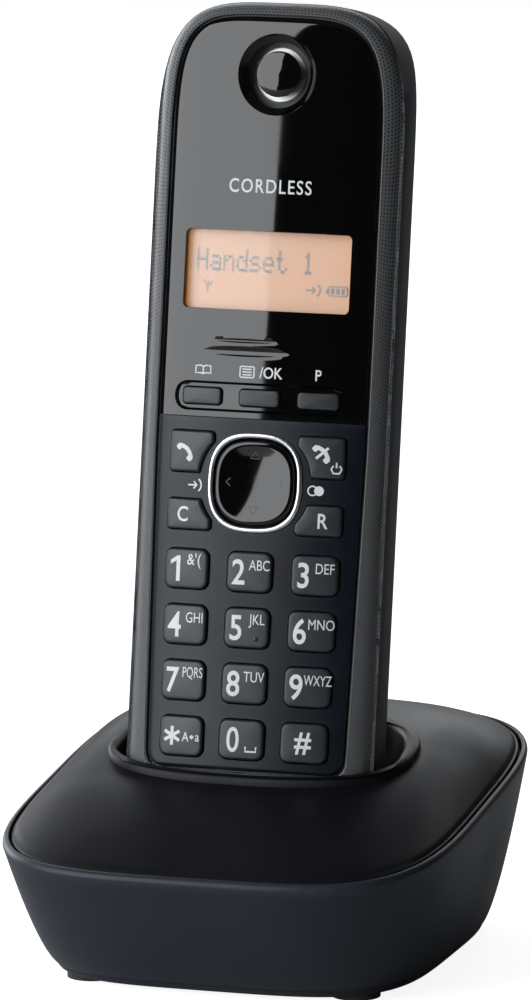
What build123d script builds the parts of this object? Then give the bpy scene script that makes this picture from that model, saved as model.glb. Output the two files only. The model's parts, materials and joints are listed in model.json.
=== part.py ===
from build123d import *
import math
import os

# A cordless phone standing in its charging base. Millimetres, +Z up, origin at the middle of the
# base on the surface that it stands on, front towards -Y.

# --- base: overall sizes -------------------------------------------------------------------
BASE_WIDTH = 86.0            # outside of the rim
BASE_DEPTH = 103.6
RIM_HEIGHT = 31.3            # top of the rim at the middle of the base
RIM_SLOPE = 0.12             # rise of the rim for each millimetre towards the back
RIM_SQUARENESS = 3.9         # exponent of the rim's superellipse
FOOTPRINT_WIDTH = 71.0       # bottom of the side wall
FOOTPRINT_DEPTH = 81.2
FOOTPRINT_SHIFT = 2.5        # the bottom is set back from the rim
WALL_BULGE = 0.7             # under 1 bows the side wall outwards
WALL_SHARES = (0, 0.12, 0.4, 1)
BASE_WALL = 2.2
COVER_WALL = 2.0
RIM_LIP = 1.05               # wall left outside the cover's seat
RIM_GROOVE = 0.5             # gap around the cover
FOOT_HEIGHT = 1.0
FOOT_DIAMETER = 9.0
FOOT_SOCKET = 0.4
FOOT_MARGIN = 5.5            # foot to the edge of the footprint

# --- cradle ------------------------------------------------------------------------------
LIP_HEIGHT = 40.6            # top of the cradle's lip at its middle
LIP_SLOPE = 0.17
LIP_WIDTH = 58.6
LIP_DEPTH = 35.0
LIP_SHIFT = -2.6
LIP_ROUND = 1.2
DOME_SHARES = (0, 0.25, 0.6, 1)
DOME_CROWN = 1.9             # over 1 makes the cover swell upwards
WELL_CLEARANCE = 0.6         # around the handset at the well's floor
FLOOR_GAP = 0.1
WELL_FLARE = 2.2             # extra clearance at the mouth
WELL_WALL = 1.6

# --- handset: overall sizes -----------------------------------------------------------------
HANDSET_LENGTH = 156.0
HANDSET_WIDTH = 47.8
HANDSET_DEPTH = 27.0
FRONT_CROWN = 7.6            # depth of the front half of the section
FRONT_SQUARENESS = 2.45
BACK_SQUARENESS = 2.9
TOP_CAP = 36.0               # length of the rounded top end
HANDSET_TILT = 9.6           # degrees that it leans back
KEY_ZERO_ABOVE_END = 20.0    # bottom end to the middle of key 0
KEY_ZERO_Y = -16.5           # where that point of the face stands over the base
KEY_ZERO_Z = 43.8
FRONT_WALL = 2.4
REAR_WALL = 1.8
SEAM_DEPTH = 5.4             # face to the joint between the two cases

# --- fascia: glossy upper panel and matte keypad panel ---------------------------------------
FASCIA_HALF_WIDTH = 19.9
FASCIA_FOOT_HALF_WIDTH = 18.8
FASCIA_TOP = 133.2           # heights on the face are taken from the middle of key 0
FASCIA_BOTTOM = -5.8
FASCIA_CAP = 31.0
FASCIA_SQUARENESS = 4.4
FASCIA_CORNER = 3.0
FASCIA_GROOVE = 0.5
FASCIA_LEDGE = 1.5
PANEL_THICKNESS = 1.2
PANEL_SPLIT = 59.1
PANEL_JOINT = 0.15

WINDOW_WIDTH = 32.0
WINDOW_HEIGHT = 14.6
WINDOW_BOTTOM = 79.1
WINDOW_CORNER = 1.0
WINDOW_OVERLAP = 1.2
WINDOW_THICKNESS = 0.8

EARPIECE_V = 122.7
EARPIECE_DISH_RADIUS = 7.6
EARPIECE_DISH_DEPTH = 1.4
EARPIECE_BOSS_RADIUS = 8.8
EARPIECE_BOSS_DEPTH = 3.4
EARPIECE_SLIT = 4.0

# --- keys ---------------------------------------------------------------------------------
KEY_PITCH_V = 10.3
KEY_PITCH_U_TOP = 12.35
KEY_PITCH_U_BOTTOM = 11.8
KEY_WIDTH = 8.6
KEY_HEIGHT = 7.3
KEY_CORNER = 1.5
KEY_GAP = 0.25
KEY_RISE = 0.9
KEY_TRAVEL = 1.0
KEY_FLANGE = 0.5
FLANGE_THICKNESS = 0.8
FLANGE_PLAY = 0.1
KEY_STEM_DIAMETER = 3.6

RING_V = 47.35
RING_HALF_WIDTH = 9.1
RING_HALF_HEIGHT = 9.25
RING_BAND = 1.0
RING_SQUARENESS = 2.7
RING_RISE = 0.5
NAVIGATOR_GAP = 0.4
NAVIGATOR_RISE = 0.7
PIVOT_DIAMETER = 3.0
PIVOT_DEPTH = 3.2

SIDE_KEY_OUTER = 16.8
SIDE_KEY_INNER = 8.1
SIDE_KEY_ARC = 10.9
UPPER_SIDE_KEY = (48.8, 56.4)
LOWER_SIDE_KEY = (38.2, 43.8)

SOFT_SLOT_V = 62.95
SOFT_SLOT_WIDTH = 33.8
SOFT_SLOT_HEIGHT = 5.8
SOFT_KEY_WIDTH = 7.7
SOFT_KEY_HEIGHT = 3.0
SOFT_KEY_PITCH = 11.2
SOFT_KEY_RISE = 0.1
SOFT_FLOOR_DEPTH = 0.7

# --- inside the handset -------------------------------------------------------------------
BOARD_TOP = 6.0              # face to the circuit board
BOARD_THICKNESS = 1.0
BOARD_HALF_WIDTH = 15.6
BOARD_LOW = -13.0
BOARD_HIGH = 112.0
MAT_THICKNESS = 0.8
MAT_POCKET = 0.4
PAD_DIAMETER = 3.4
PAD_THICKNESS = 0.2
CELL_DIAMETER = 10.5
CELL_LENGTH = 44.5
CELL_LOW = 10.5
CELL_SPACING = 11.2
DOOR_LOW = 6.0
DOOR_HIGH = 61.0
DOOR_HALF_WIDTH = 16.5
DOOR_CORNER = 3.0
DOOR_GAP = 0.2
DOOR_THICKNESS = 1.6
SCREW_U = 18.4
SCREW_V = 70.0
SCREW_HEAD = 3.8
SCREW_SHANK = 2.0
BOSS_DIAMETER = 5.0
CHARGE_PAD_U = 8.0
CHARGE_PAD_W = -15.0
CHARGE_PAD_SIZE = 5.0
CONTACT_GAP = 0.05
SPEAKER_DIAMETER = 13.0
RINGER_DIAMETER = 20.0
RINGER_V = 92.0
MIC_DIAMETER = 5.0

# --- inside the base -----------------------------------------------------------------------
BASE_BOARD_Z = 7.0
BASE_BOARD_THICKNESS = 1.6
BASE_BOARD_WIDTH = 48.0
LINE_JACK_X = -17.0
LINE_JACK_WIDTH = 13.4
LINE_JACK_HEIGHT = 11.6
LINE_MOUTH_WIDTH = 9.8
LINE_MOUTH_HEIGHT = 6.8
LINE_MOUTH_DEPTH = 12.0
DC_JACK_X = 17.0
DC_JACK_WIDTH = 9.2
DC_JACK_HEIGHT = 10.6
DC_BORE_DIAMETER = 5.6
DC_PIN_DIAMETER = 1.3
DC_BORE_DEPTH = 9.0
JACK_LENGTH = 17.0
LOCATOR_DIAMETER = 7.0
LOCATOR_GAP = 0.25
LOCATOR_Z = 15.0
LOCATOR_TRAVEL = 0.8
BASE_SCREW_X = 25.0
BASE_SCREW_FRONT = -24.0
BASE_SCREW_BACK = 21.0

FAR = 200.0                  # longer than anything that it cuts

parts = {}


# --- shape helpers ------------------------------------------------------------------------
LOOP_ANGLES = (25, 45, 65)   # where a superellipse is divided into arcs, in each quarter


def oval_point(half_x, half_y, n, degrees):
    """A point of a superellipse, by its angle parameter."""
    c, s = math.cos(math.radians(degrees)), math.sin(math.radians(degrees))
    return (math.copysign(abs(c) ** (2 / n), c) * half_x, math.copysign(abs(s) ** (2 / n), s) * half_y)


def oval_points(half_x, upper, lower=None):
    """Points round a closed oval, in threes for arcs; upper and lower are (half_y, n, angles)."""
    lower = lower or upper
    points = []
    for sign, (half_y, n, angles) in ((1, upper), (-1, lower)):
        quarter = list(angles) + [90] + [180 - a for a in reversed(angles)]
        for degrees in quarter:
            x, y = oval_point(half_x, half_y, n, degrees)
            points.append((sign * x, sign * y))
        points.append((-sign * half_x, 0))
    return points


def arcs_through(points):
    """Arcs that each pass through three points, the next starting where the last ends."""
    return [ThreePointArc(*points[i:i + 3]) for i in range(0, len(points) - 2, 2)]


def closed_wire(points):
    return Wire(arcs_through(points + points[:1]))


def prism(face, low, high):
    """The face, drawn in the XY plane, as a solid from z = low to z = high."""
    return extrude(Pos(0, 0, low) * face, high - low)


def block(x0, x1, y0, y1, z0, z1):
    return Pos((x0 + x1) / 2, (y0 + y1) / 2, (z0 + z1) / 2) * Box(x1 - x0, y1 - y0, z1 - z0)


def disc(x, y, radius, low, high):
    return Pos(x, y, (low + high) / 2) * Cylinder(radius, high - low)


# --- handset frame: x across, y up its length from key 0, z out of the face -----------------
tilt = math.radians(HANDSET_TILT)
handset_plane = Plane(
    origin=(0, KEY_ZERO_Y, KEY_ZERO_Z),
    x_dir=(1, 0, 0),
    z_dir=(0, -math.cos(tilt), math.sin(tilt)),
)
HANDSET = handset_plane.location
V_END = -KEY_ZERO_ABOVE_END
V_TOP = HANDSET_LENGTH - KEY_ZERO_ABOVE_END


FRONT_ANGLES = (12, 24, 36.5)
BACK_ANGLES = (15, 38, 60)
CAP_ANGLES = (0, 8, 20, 38, 56, 68, 80, 90, 100, 112, 124, 142, 160, 172, 180)
CAP_SQUARENESS = 4.0
FRONT_ROLL = 4.5             # rounding of the top end, seen from the side
BACK_ROLL = 9.0


def handset_wire(v, inset, set_back=0.0):
    """Outline of the handset across its length, at height v, moved back by set_back."""
    front = (FRONT_CROWN - inset, FRONT_SQUARENESS, FRONT_ANGLES)
    back = (HANDSET_DEPTH - FRONT_CROWN - inset, BACK_SQUARENESS, BACK_ANGLES)
    loop = oval_points(HANDSET_WIDTH / 2 - inset, front, back)
    return closed_wire([(x, v, y - FRONT_CROWN - set_back) for x, y in loop])


def cap_points(half, shoulder, length, n):
    points = [oval_point(half, length, n, degrees) for degrees in CAP_ANGLES]
    return [(x, y + shoulder) for x, y in points]


def handset_body(inset):
    """The handset's outer form, moved inwards by inset (outwards where it is negative)."""
    low = V_END + inset
    high = V_TOP - inset
    body = extrude(Face(handset_wire(low, inset)), high - low, dir=(0, 1, 0))
    cap = cap_points(HANDSET_WIDTH / 2 - inset, V_TOP - TOP_CAP, TOP_CAP - inset, CAP_SQUARENESS)
    side = HANDSET_WIDTH
    outline = arcs_through(cap)
    outline.append(Polyline(cap[-1], (-side, cap[-1][1]), (-side, low - 1), (side, low - 1),
                            (side, cap[0][1]), cap[0]))
    body = body & prism(make_face(outline), -FAR / 4, FAR / 10)
    top = -inset
    deep = -HANDSET_DEPTH + inset
    knee = high - 2 * BACK_ROLL
    corner = 1 - math.sqrt(0.5)
    side_view = [
        Polyline((0, high - BACK_ROLL, deep), (0, knee, deep - 1), (0, low - 1, deep - 1),
                 (0, low - 1, top + 1), (0, knee, top + 1), (0, high - FRONT_ROLL, top)),
        ThreePointArc((0, high - FRONT_ROLL, top),
                      (0, high - FRONT_ROLL * corner, top - FRONT_ROLL * corner),
                      (0, high, top - FRONT_ROLL)),
        Line((0, high, top - FRONT_ROLL), (0, high, deep + BACK_ROLL)),
        ThreePointArc((0, high, deep + BACK_ROLL),
                      (0, high - BACK_ROLL * corner, deep + BACK_ROLL * corner),
                      (0, high - BACK_ROLL, deep)),
    ]
    face = make_face(side_view)
    return body & extrude(face, FAR / 4, dir=(1, 0, 0), both=True)


outer = handset_body(0)
front_inner = handset_body(FRONT_WALL)
rear_inner = handset_body(REAR_WALL)
panel_inner = handset_body(PANEL_THICKNESS)
key_top_body = handset_body(-KEY_RISE)


def fascia_face(grow):
    """Outline of the two panels together, made larger all round by grow."""
    shoulder = FASCIA_TOP - FASCIA_CAP
    half = FASCIA_HALF_WIDTH + grow
    cap = cap_points(half, shoulder, FASCIA_CAP + grow, FASCIA_SQUARENESS)
    knee = FASCIA_BOTTOM + 60
    foot = FASCIA_FOOT_HALF_WIDTH + grow
    low = FASCIA_BOTTOM - grow
    corner = FASCIA_CORNER
    edges = arcs_through(cap) + [
        Polyline(cap[-1], (-half, knee), (-foot, low + corner)),
        ThreePointArc((-foot, low + corner), (-foot + corner * 0.293, low + corner * 0.293),
                      (-foot + corner, low)),
        Line((-foot + corner, low), (foot - corner, low)),
        ThreePointArc((foot - corner, low), (foot - corner * 0.293, low + corner * 0.293),
                      (foot, low + corner)),
        Polyline((foot, low + corner), (half, knee), cap[0]),
    ]
    return make_face(edges)


def rounded(width, height, corner, u=0.0, v=0.0):
    return Pos(u, v) * RectangleRounded(width, height, corner)


def skin(shape, face):
    """The part of a body that lies behind a face drawn on the handset's front."""
    return shape & prism(face, -FRONT_CROWN, FAR / 10)


# --- handset keys -------------------------------------------------------------------------
def key_column(row):
    """Sideways pitch of the number keys in a row, row 0 being 1-2-3."""
    return KEY_PITCH_U_TOP + (KEY_PITCH_U_BOTTOM - KEY_PITCH_U_TOP) * row / 3


NUMBER_KEYS = [
    ["key_1", "key_2", "key_3"],
    ["key_4", "key_5", "key_6"],
    ["key_7", "key_8", "key_9"],
    ["key_star", "key_0", "key_hash"],
]
key_faces = {}
for row, names in enumerate(NUMBER_KEYS):
    for column, name in enumerate(names):
        u = (column - 1) * key_column(row)
        v = (3 - row) * KEY_PITCH_V
        key_faces[name] = (u, v, rounded(KEY_WIDTH, KEY_HEIGHT, KEY_CORNER, u, v))


def side_key(side, span):
    """A key beside the navigator: a rectangle with its inner side cut to the ring's curve."""
    low, high = span
    u = side * (SIDE_KEY_OUTER + SIDE_KEY_INNER) / 2
    v = (low + high) / 2
    face = rounded(SIDE_KEY_OUTER - SIDE_KEY_INNER, high - low, KEY_CORNER / 2, u, v)
    face = face - Pos(0, RING_V) * Circle(SIDE_KEY_ARC)
    stem_u = side * (SIDE_KEY_OUTER - (SIDE_KEY_OUTER - SIDE_KEY_INNER) * 0.3)
    return (stem_u, v, face)


key_faces["talk_key"] = side_key(-1, UPPER_SIDE_KEY)
key_faces["off_key"] = side_key(1, UPPER_SIDE_KEY)
key_faces["clear_key"] = side_key(-1, LOWER_SIDE_KEY)
key_faces["recall_key"] = side_key(1, LOWER_SIDE_KEY)

soft_faces = {}
for column, name in enumerate(["soft_key_left", "soft_key_middle", "soft_key_right"]):
    u = (column - 1) * SOFT_KEY_PITCH
    face = rounded(SOFT_KEY_WIDTH, SOFT_KEY_HEIGHT, SOFT_KEY_HEIGHT / 2 - 0.05, u, SOFT_SLOT_V)
    soft_faces[name] = (u, SOFT_SLOT_V, face)


def grown(face, amount):
    return offset(face, amount)


def panel_back_depth(u):
    """Depth of the panels' inner side below the middle of the face, at u from the middle."""
    x, y = oval_point(HANDSET_WIDTH / 2 - PANEL_THICKNESS, FRONT_CROWN - PANEL_THICKNESS,
                      FRONT_SQUARENESS, FRONT_ANGLES[2])
    drop = FRONT_CROWN - PANEL_THICKNESS - y
    radius = (x ** 2 + drop ** 2) / (2 * drop)
    return PANEL_THICKNESS + radius - math.sqrt(radius ** 2 - u ** 2)


flange_low = BOARD_TOP - MAT_THICKNESS - KEY_TRAVEL - FLANGE_PLAY


def make_key(u, v, face, top_body, flange_grow):
    """A key cap through the panel, with a flange behind it that stops it falling out."""
    reach = face.bounding_box()
    edge = max(abs(reach.min.X), abs(reach.max.X)) + flange_grow
    top = -panel_back_depth(edge) - FLANGE_PLAY
    low = top - FLANGE_THICKNESS
    cap = top_body & prism(face, low, FAR / 10)
    flange = prism(grown(face, flange_grow), low, top)
    key = cap + flange
    if low > -flange_low:
        key = key + disc(u, v, KEY_STEM_DIAMETER / 2, -flange_low, low)
    return key


for name, (u, v, face) in key_faces.items():
    parts[name] = HANDSET * make_key(u, v, face, key_top_body, KEY_FLANGE)

soft_top_body = handset_body(-SOFT_KEY_RISE)
for name, (u, v, face) in soft_faces.items():
    parts[name] = HANDSET * make_key(u, v, face, soft_top_body, KEY_FLANGE)

# navigator: silver ring let into the keypad panel, with a rocking key inside it
def ring_face(inset):
    quarter = (RING_HALF_HEIGHT - inset, RING_SQUARENESS, LOOP_ANGLES)
    return Pos(0, RING_V) * make_face(closed_wire(oval_points(RING_HALF_WIDTH - inset, quarter)))


ring_outer = ring_face(0)
ring_inner = ring_face(RING_BAND)
rocker_face = ring_face(RING_BAND + NAVIGATOR_GAP)
ring_top_body = handset_body(-RING_RISE)
ring_depth = panel_back_depth(RING_HALF_WIDTH) + 0.2
ring_solid = ring_top_body & prism(ring_outer - ring_inner, -ring_depth, FAR / 10)
parts["navigator_ring"] = HANDSET * ring_solid

rocker_top = handset_body(-NAVIGATOR_RISE)
rocker_low = -(PIVOT_DEPTH - 0.4)
rocker = rocker_top & prism(rocker_face, rocker_low, FAR / 10)
pivot_ball = Pos(0, RING_V, -PIVOT_DEPTH) * Sphere(PIVOT_DIAMETER / 2)
rocker = rocker - Pos(0, RING_V, -PIVOT_DEPTH) * Sphere(PIVOT_DIAMETER / 2 + 0.08)
parts["navigator"] = HANDSET * rocker
pivot_post = disc(0, RING_V, 0.6, -(BOARD_TOP - MAT_THICKNESS - 0.2), -PIVOT_DEPTH)
parts["navigator_pivot"] = HANDSET * (pivot_ball + pivot_post)

# --- handset panels -----------------------------------------------------------------------
recess = fascia_face(FASCIA_GROOVE)
fascia = fascia_face(0)
ledge = fascia_face(-FASCIA_LEDGE)
upper_zone = Pos(0, PANEL_SPLIT + PANEL_JOINT / 2 + FAR / 2) * Rectangle(FAR, FAR)
lower_zone = Pos(0, PANEL_SPLIT - PANEL_JOINT / 2 - FAR / 2) * Rectangle(FAR, FAR)
panel_layer = outer - panel_inner

window_v = WINDOW_BOTTOM + WINDOW_HEIGHT / 2
window = rounded(WINDOW_WIDTH, WINDOW_HEIGHT, WINDOW_CORNER, 0, window_v)
soft_slot = rounded(SOFT_SLOT_WIDTH, SOFT_SLOT_HEIGHT, SOFT_SLOT_HEIGHT / 2 - 0.05, 0, SOFT_SLOT_V)

upper_panel = skin(panel_layer, fascia & upper_zone)
upper_panel = upper_panel - prism(window, -FAR / 10, FAR / 10)
boss = disc(0, EARPIECE_V, EARPIECE_BOSS_RADIUS, -EARPIECE_BOSS_DEPTH, -PANEL_THICKNESS / 2)
upper_panel = upper_panel + (boss & outer)
dish_sphere = (EARPIECE_DISH_RADIUS ** 2 + EARPIECE_DISH_DEPTH ** 2) / (2 * EARPIECE_DISH_DEPTH)
upper_panel = upper_panel - Pos(0, EARPIECE_V, dish_sphere - EARPIECE_DISH_DEPTH) * Sphere(dish_sphere)
slit = prism(rounded(EARPIECE_SLIT, 0.8, 0.39, 0, EARPIECE_V), -FAR / 10, FAR / 10)
upper_panel = upper_panel - slit
slot_floor = handset_body(SOFT_FLOOR_DEPTH)
upper_panel = upper_panel - (prism(soft_slot, -FRONT_CROWN, FAR / 10) - slot_floor)
for name, (u, v, face) in soft_faces.items():
    upper_panel = upper_panel - prism(grown(face, KEY_GAP), -FAR / 10, FAR / 10)
parts["upper_panel"] = HANDSET * upper_panel

keypad_panel = skin(panel_layer, fascia & lower_zone)
for name, (u, v, face) in key_faces.items():
    keypad_panel = keypad_panel - prism(grown(face, KEY_GAP), -FAR / 10, FAR / 10)
keypad_panel = keypad_panel - prism(ring_outer, -FAR / 10, FAR / 10)
parts["keypad_panel"] = HANDSET * keypad_panel

lens_edge = rounded(
    WINDOW_WIDTH + 2 * WINDOW_OVERLAP, WINDOW_HEIGHT + 2 * WINDOW_OVERLAP, WINDOW_CORNER,
    0, window_v)
lens_inner = handset_body(PANEL_THICKNESS + WINDOW_THICKNESS)
parts["display_window"] = HANDSET * skin(panel_inner - lens_inner, lens_edge)

# --- handset cases ------------------------------------------------------------------------
front_half = block(-FAR, FAR, -FAR, FAR, -SEAM_DEPTH, FAR)
rear_half = block(-FAR, FAR, -FAR, FAR, -FAR, -SEAM_DEPTH)
front_case = (outer - front_inner) & front_half
front_case = front_case - skin(outer - panel_inner, recess)
front_case = front_case - prism(ledge, -SEAM_DEPTH, FAR / 10)
for side in (-1, 1):
    post = disc(side * SCREW_U, SCREW_V, BOSS_DIAMETER / 2, -BOARD_TOP - 5, -FRONT_WALL - 1.4)
    post = post & handset_body(REAR_WALL + 0.3)
    post = post - disc(side * SCREW_U, SCREW_V, SCREW_SHANK / 2 - 0.1, -FAR / 4, -FRONT_WALL - 3)
    front_case = front_case + post
parts["handset_front_case"] = HANDSET * front_case

rear_case = (outer - rear_inner) & rear_half
door_face = rounded(2 * DOOR_HALF_WIDTH, DOOR_HIGH - DOOR_LOW, DOOR_CORNER, 0,
                    (DOOR_LOW + DOOR_HIGH) / 2)
door_hole = grown(door_face, DOOR_GAP)
rear_case = rear_case - prism(door_hole, -FAR / 4, -HANDSET_DEPTH / 2)
cell_w = -(HANDSET_DEPTH - DOOR_THICKNESS - CELL_DIAMETER / 2 - 1.2)
tray_top = cell_w + CELL_DIAMETER / 2 + 1.6
tray_half = CELL_SPACING / 2 + CELL_DIAMETER / 2 + 0.7
tray_low = CELL_LOW - 3.0
tray_high = CELL_LOW + CELL_LENGTH + 2.0
tray_floor = -(HANDSET_DEPTH - DOOR_THICKNESS - 2.2)
tray = block(-tray_half - 1, tray_half + 1, tray_low - 1, tray_high + 1, tray_floor, tray_top)
tray = tray - block(-tray_half, tray_half, tray_low, tray_high, -FAR, tray_top - 1)
rear_case = rear_case + tray
shelf = prism(grown(door_face, 2.5), tray_floor, tray_floor + 1.0)
shelf = shelf - block(-tray_half, tray_half, tray_low, tray_high, -FAR, FAR)
rear_case = rear_case + (shelf & outer)
door_room = (outer - handset_body(DOOR_THICKNESS + DOOR_GAP)) & prism(door_hole, -FAR / 4, -HANDSET_DEPTH / 2)
rear_case = rear_case - door_room
for side in (-1, 1):
    tube = disc(side * SCREW_U, SCREW_V, BOSS_DIAMETER / 2 + 0.4, -FAR / 5, -BOARD_TOP - 5.1)
    rear_case = rear_case + (tube & outer)
    rear_case = rear_case - disc(side * SCREW_U, SCREW_V, SCREW_HEAD / 2 + 0.2, -FAR, -BOARD_TOP - 6.6)
    rear_case = rear_case - disc(side * SCREW_U, SCREW_V, SCREW_SHANK / 2 + 0.2, -FAR, -BOARD_TOP)
for i in range(5):
    slot = rounded(10.0, 1.2, 0.55, 0, RINGER_V + (i - 2) * 2.6)
    rear_case = rear_case - prism(slot, -FAR, -HANDSET_DEPTH / 2)
for side in (-1, 1):
    socket = block(side * CHARGE_PAD_U - CHARGE_PAD_SIZE / 2, side * CHARGE_PAD_U + CHARGE_PAD_SIZE / 2,
                   V_END - 1, V_END + REAR_WALL + 0.2,
                   CHARGE_PAD_W - CHARGE_PAD_SIZE / 2, CHARGE_PAD_W + CHARGE_PAD_SIZE / 2)
    rear_case = rear_case - socket
mic_w = -9.5
rear_case = rear_case - Pos(0, V_END, mic_w) * Rot(90, 0, 0) * Cylinder(0.7, 8)
parts["handset_rear_case"] = HANDSET * rear_case

door = (outer - handset_body(DOOR_THICKNESS)) & prism(door_face, -FAR / 4, -HANDSET_DEPTH / 2)
parts["battery_door"] = HANDSET * door

# --- inside the handset -------------------------------------------------------------------
mat_top = -(BOARD_TOP - MAT_THICKNESS)
board = block(-BOARD_HALF_WIDTH, BOARD_HALF_WIDTH, BOARD_LOW, BOARD_HIGH,
              -BOARD_TOP - BOARD_THICKNESS, -BOARD_TOP)
parts["handset_circuit_board"] = HANDSET * board

all_keys = list(key_faces.values()) + list(soft_faces.values())
pads = [(u, v) for u, v, face in all_keys]
pads = pads + [(0, RING_V + 6), (0, RING_V - 6), (-6, RING_V), (6, RING_V)]
mat = block(-BOARD_HALF_WIDTH + 0.3, BOARD_HALF_WIDTH - 0.3, BOARD_LOW + 4, SOFT_SLOT_V + 3.5,
            -BOARD_TOP, mat_top)
contacts = []
for u, v in pads:
    limit = BOARD_HALF_WIDTH - PAD_DIAMETER / 2 - 0.9
    u = max(-limit, min(limit, u))
    mat = mat - disc(u, v, PAD_DIAMETER / 2 + 0.3, -BOARD_TOP - 1, -BOARD_TOP + MAT_POCKET)
    contacts.append(disc(u, v, PAD_DIAMETER / 2, -BOARD_TOP, -BOARD_TOP + PAD_THICKNESS))
parts["keypad_mat"] = HANDSET * mat
parts["key_contacts"] = HANDSET * Compound(children=contacts)

glass_top = -(panel_back_depth(WINDOW_WIDTH / 2 + WINDOW_OVERLAP) + WINDOW_THICKNESS + 0.1)
glass_low = glass_top - 1.1
parts["display_glass"] = HANDSET * block(
    -WINDOW_WIDTH / 2 - 0.8, WINDOW_WIDTH / 2 + 0.8, WINDOW_BOTTOM - 1.5,
    WINDOW_BOTTOM + WINDOW_HEIGHT + 1.5, glass_low, glass_top)
parts["display_backlight"] = HANDSET * block(
    -BOARD_HALF_WIDTH + 0.2, BOARD_HALF_WIDTH - 0.2, WINDOW_BOTTOM - 2,
    WINDOW_BOTTOM + WINDOW_HEIGHT + 2, -BOARD_TOP, glass_low)

gasket_low = -EARPIECE_BOSS_DEPTH - 0.5
gasket = disc(0, EARPIECE_V, SPEAKER_DIAMETER / 2, gasket_low, -EARPIECE_BOSS_DEPTH)
gasket = gasket - disc(0, EARPIECE_V, SPEAKER_DIAMETER / 2 - 1.5, -FAR, FAR)
parts["earpiece_gasket"] = HANDSET * gasket
speaker = disc(0, EARPIECE_V, SPEAKER_DIAMETER / 2, gasket_low - 3, gasket_low)
speaker = speaker - disc(0, EARPIECE_V, SPEAKER_DIAMETER / 2 - 1.5, gasket_low - 0.4, FAR)
magnet = disc(0, EARPIECE_V, SPEAKER_DIAMETER / 4, gasket_low - 4.2, gasket_low - 3)
parts["earpiece_speaker"] = HANDSET * (speaker + magnet)

ringer_low = -(HANDSET_DEPTH - REAR_WALL - 1.6)
ringer = disc(0, RINGER_V, RINGER_DIAMETER / 2, ringer_low, ringer_low + 2.6)
ringer = ringer + disc(0, RINGER_V, RINGER_DIAMETER / 3, ringer_low + 2.6, ringer_low + 5.2)
parts["ringer_speaker"] = HANDSET * ringer

mic_low = V_END + REAR_WALL
mic_place = Pos(0, mic_low, mic_w) * Rot(-90, 0, 0)
boot = mic_place * (disc(0, 0, MIC_DIAMETER / 2 + 0.8, 0, 3.2) - disc(0, 0, MIC_DIAMETER / 2, 0.6, 4)
                    - disc(0, 0, 0.7, -1, 1))
parts["microphone_boot"] = HANDSET * boot
parts["microphone"] = HANDSET * (mic_place * disc(0, 0, MIC_DIAMETER / 2, 0.6, 2.8))

shield = block(-12, 12, 58, 86, -BOARD_TOP - BOARD_THICKNESS - 2.4, -BOARD_TOP - BOARD_THICKNESS)
shield = shield - block(-11.7, 11.7, 58.3, 85.7, -BOARD_TOP - BOARD_THICKNESS - 2.1, 0)
parts["handset_radio_shield"] = HANDSET * shield

antenna_w = -(BOARD_TOP + BOARD_THICKNESS)
antenna = block(-11, 11, BOARD_HIGH - 4, BOARD_HIGH - 2, antenna_w - 4.5, antenna_w - 4.1)
antenna = antenna + block(-11, -9, BOARD_HIGH - 4, BOARD_HIGH - 2, antenna_w - 4.5, antenna_w)
antenna = antenna + block(5, 7, BOARD_HIGH - 4, BOARD_HIGH - 2, antenna_w - 4.5, antenna_w)
parts["handset_antenna"] = HANDSET * antenna

cells = []
for side in (-1, 1):
    u = side * CELL_SPACING / 2
    place = Pos(u, CELL_LOW, cell_w) * Rot(-90, 0, 0)
    cell = place * (disc(0, 0, CELL_DIAMETER / 2, 0, CELL_LENGTH - 1.0)
                    + disc(0, 0, 1.9, CELL_LENGTH - 1.0, CELL_LENGTH))
    cells.append(cell)
parts["battery_cells"] = HANDSET * Compound(children=cells)
springs = []
plates = []
for side in (-1, 1):
    u = side * CELL_SPACING / 2
    cone = Pos(u, tray_low, cell_w) * Rot(-90, 0, 0) * (
        disc(0, 0, 4.2, 0, 0.4) + disc(0, 0, 3.0, 0.4, 2.0) + disc(0, 0, 2.0, 2.0, 3.0))
    springs.append(cone)
    plates.append(block(u - 4, u + 4, tray_high - 2.0, tray_high, cell_w - 3.5, cell_w + 3.5))
parts["battery_springs"] = HANDSET * Compound(children=springs)
parts["battery_plates"] = HANDSET * Compound(children=plates)

pads = []
for side in (-1, 1):
    u = side * CHARGE_PAD_U
    half = CHARGE_PAD_SIZE / 2
    plate = block(u - half, u + half, V_END, V_END + REAR_WALL,
                  CHARGE_PAD_W - half, CHARGE_PAD_W + half)
    tail = block(u - 1, u + 1, V_END + REAR_WALL, V_END + 4, CHARGE_PAD_W - 0.3, CHARGE_PAD_W + 0.3)
    pads.append(plate + tail)
parts["handset_charge_pads"] = HANDSET * Compound(children=pads)

screws = []
for side in (-1, 1):
    shank = disc(side * SCREW_U, SCREW_V, SCREW_SHANK / 2 - 0.1, -BOARD_TOP - 6.6, -FRONT_WALL - 3.2)
    head = disc(side * SCREW_U, SCREW_V, SCREW_HEAD / 2, -BOARD_TOP - 8.2, -BOARD_TOP - 6.6)
    drive = block(-0.35, 0.35, -1.3, 1.3, -1, 0) + block(-1.3, 1.3, -0.35, 0.35, -1, 0)
    head = head - Pos(side * SCREW_U, SCREW_V, -BOARD_TOP - 7.5) * drive
    screws.append(head + shank)
parts["handset_screws"] = HANDSET * Compound(children=screws)


# --- base: shell, cover and cradle ----------------------------------------------------------
def base_ring(half_x, half_y, shift, n, z, slope):
    points = oval_points(half_x, (half_y, n, LOOP_ANGLES))
    return closed_wire([(x, y + shift, z + slope * (y + shift)) for x, y in points])


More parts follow.
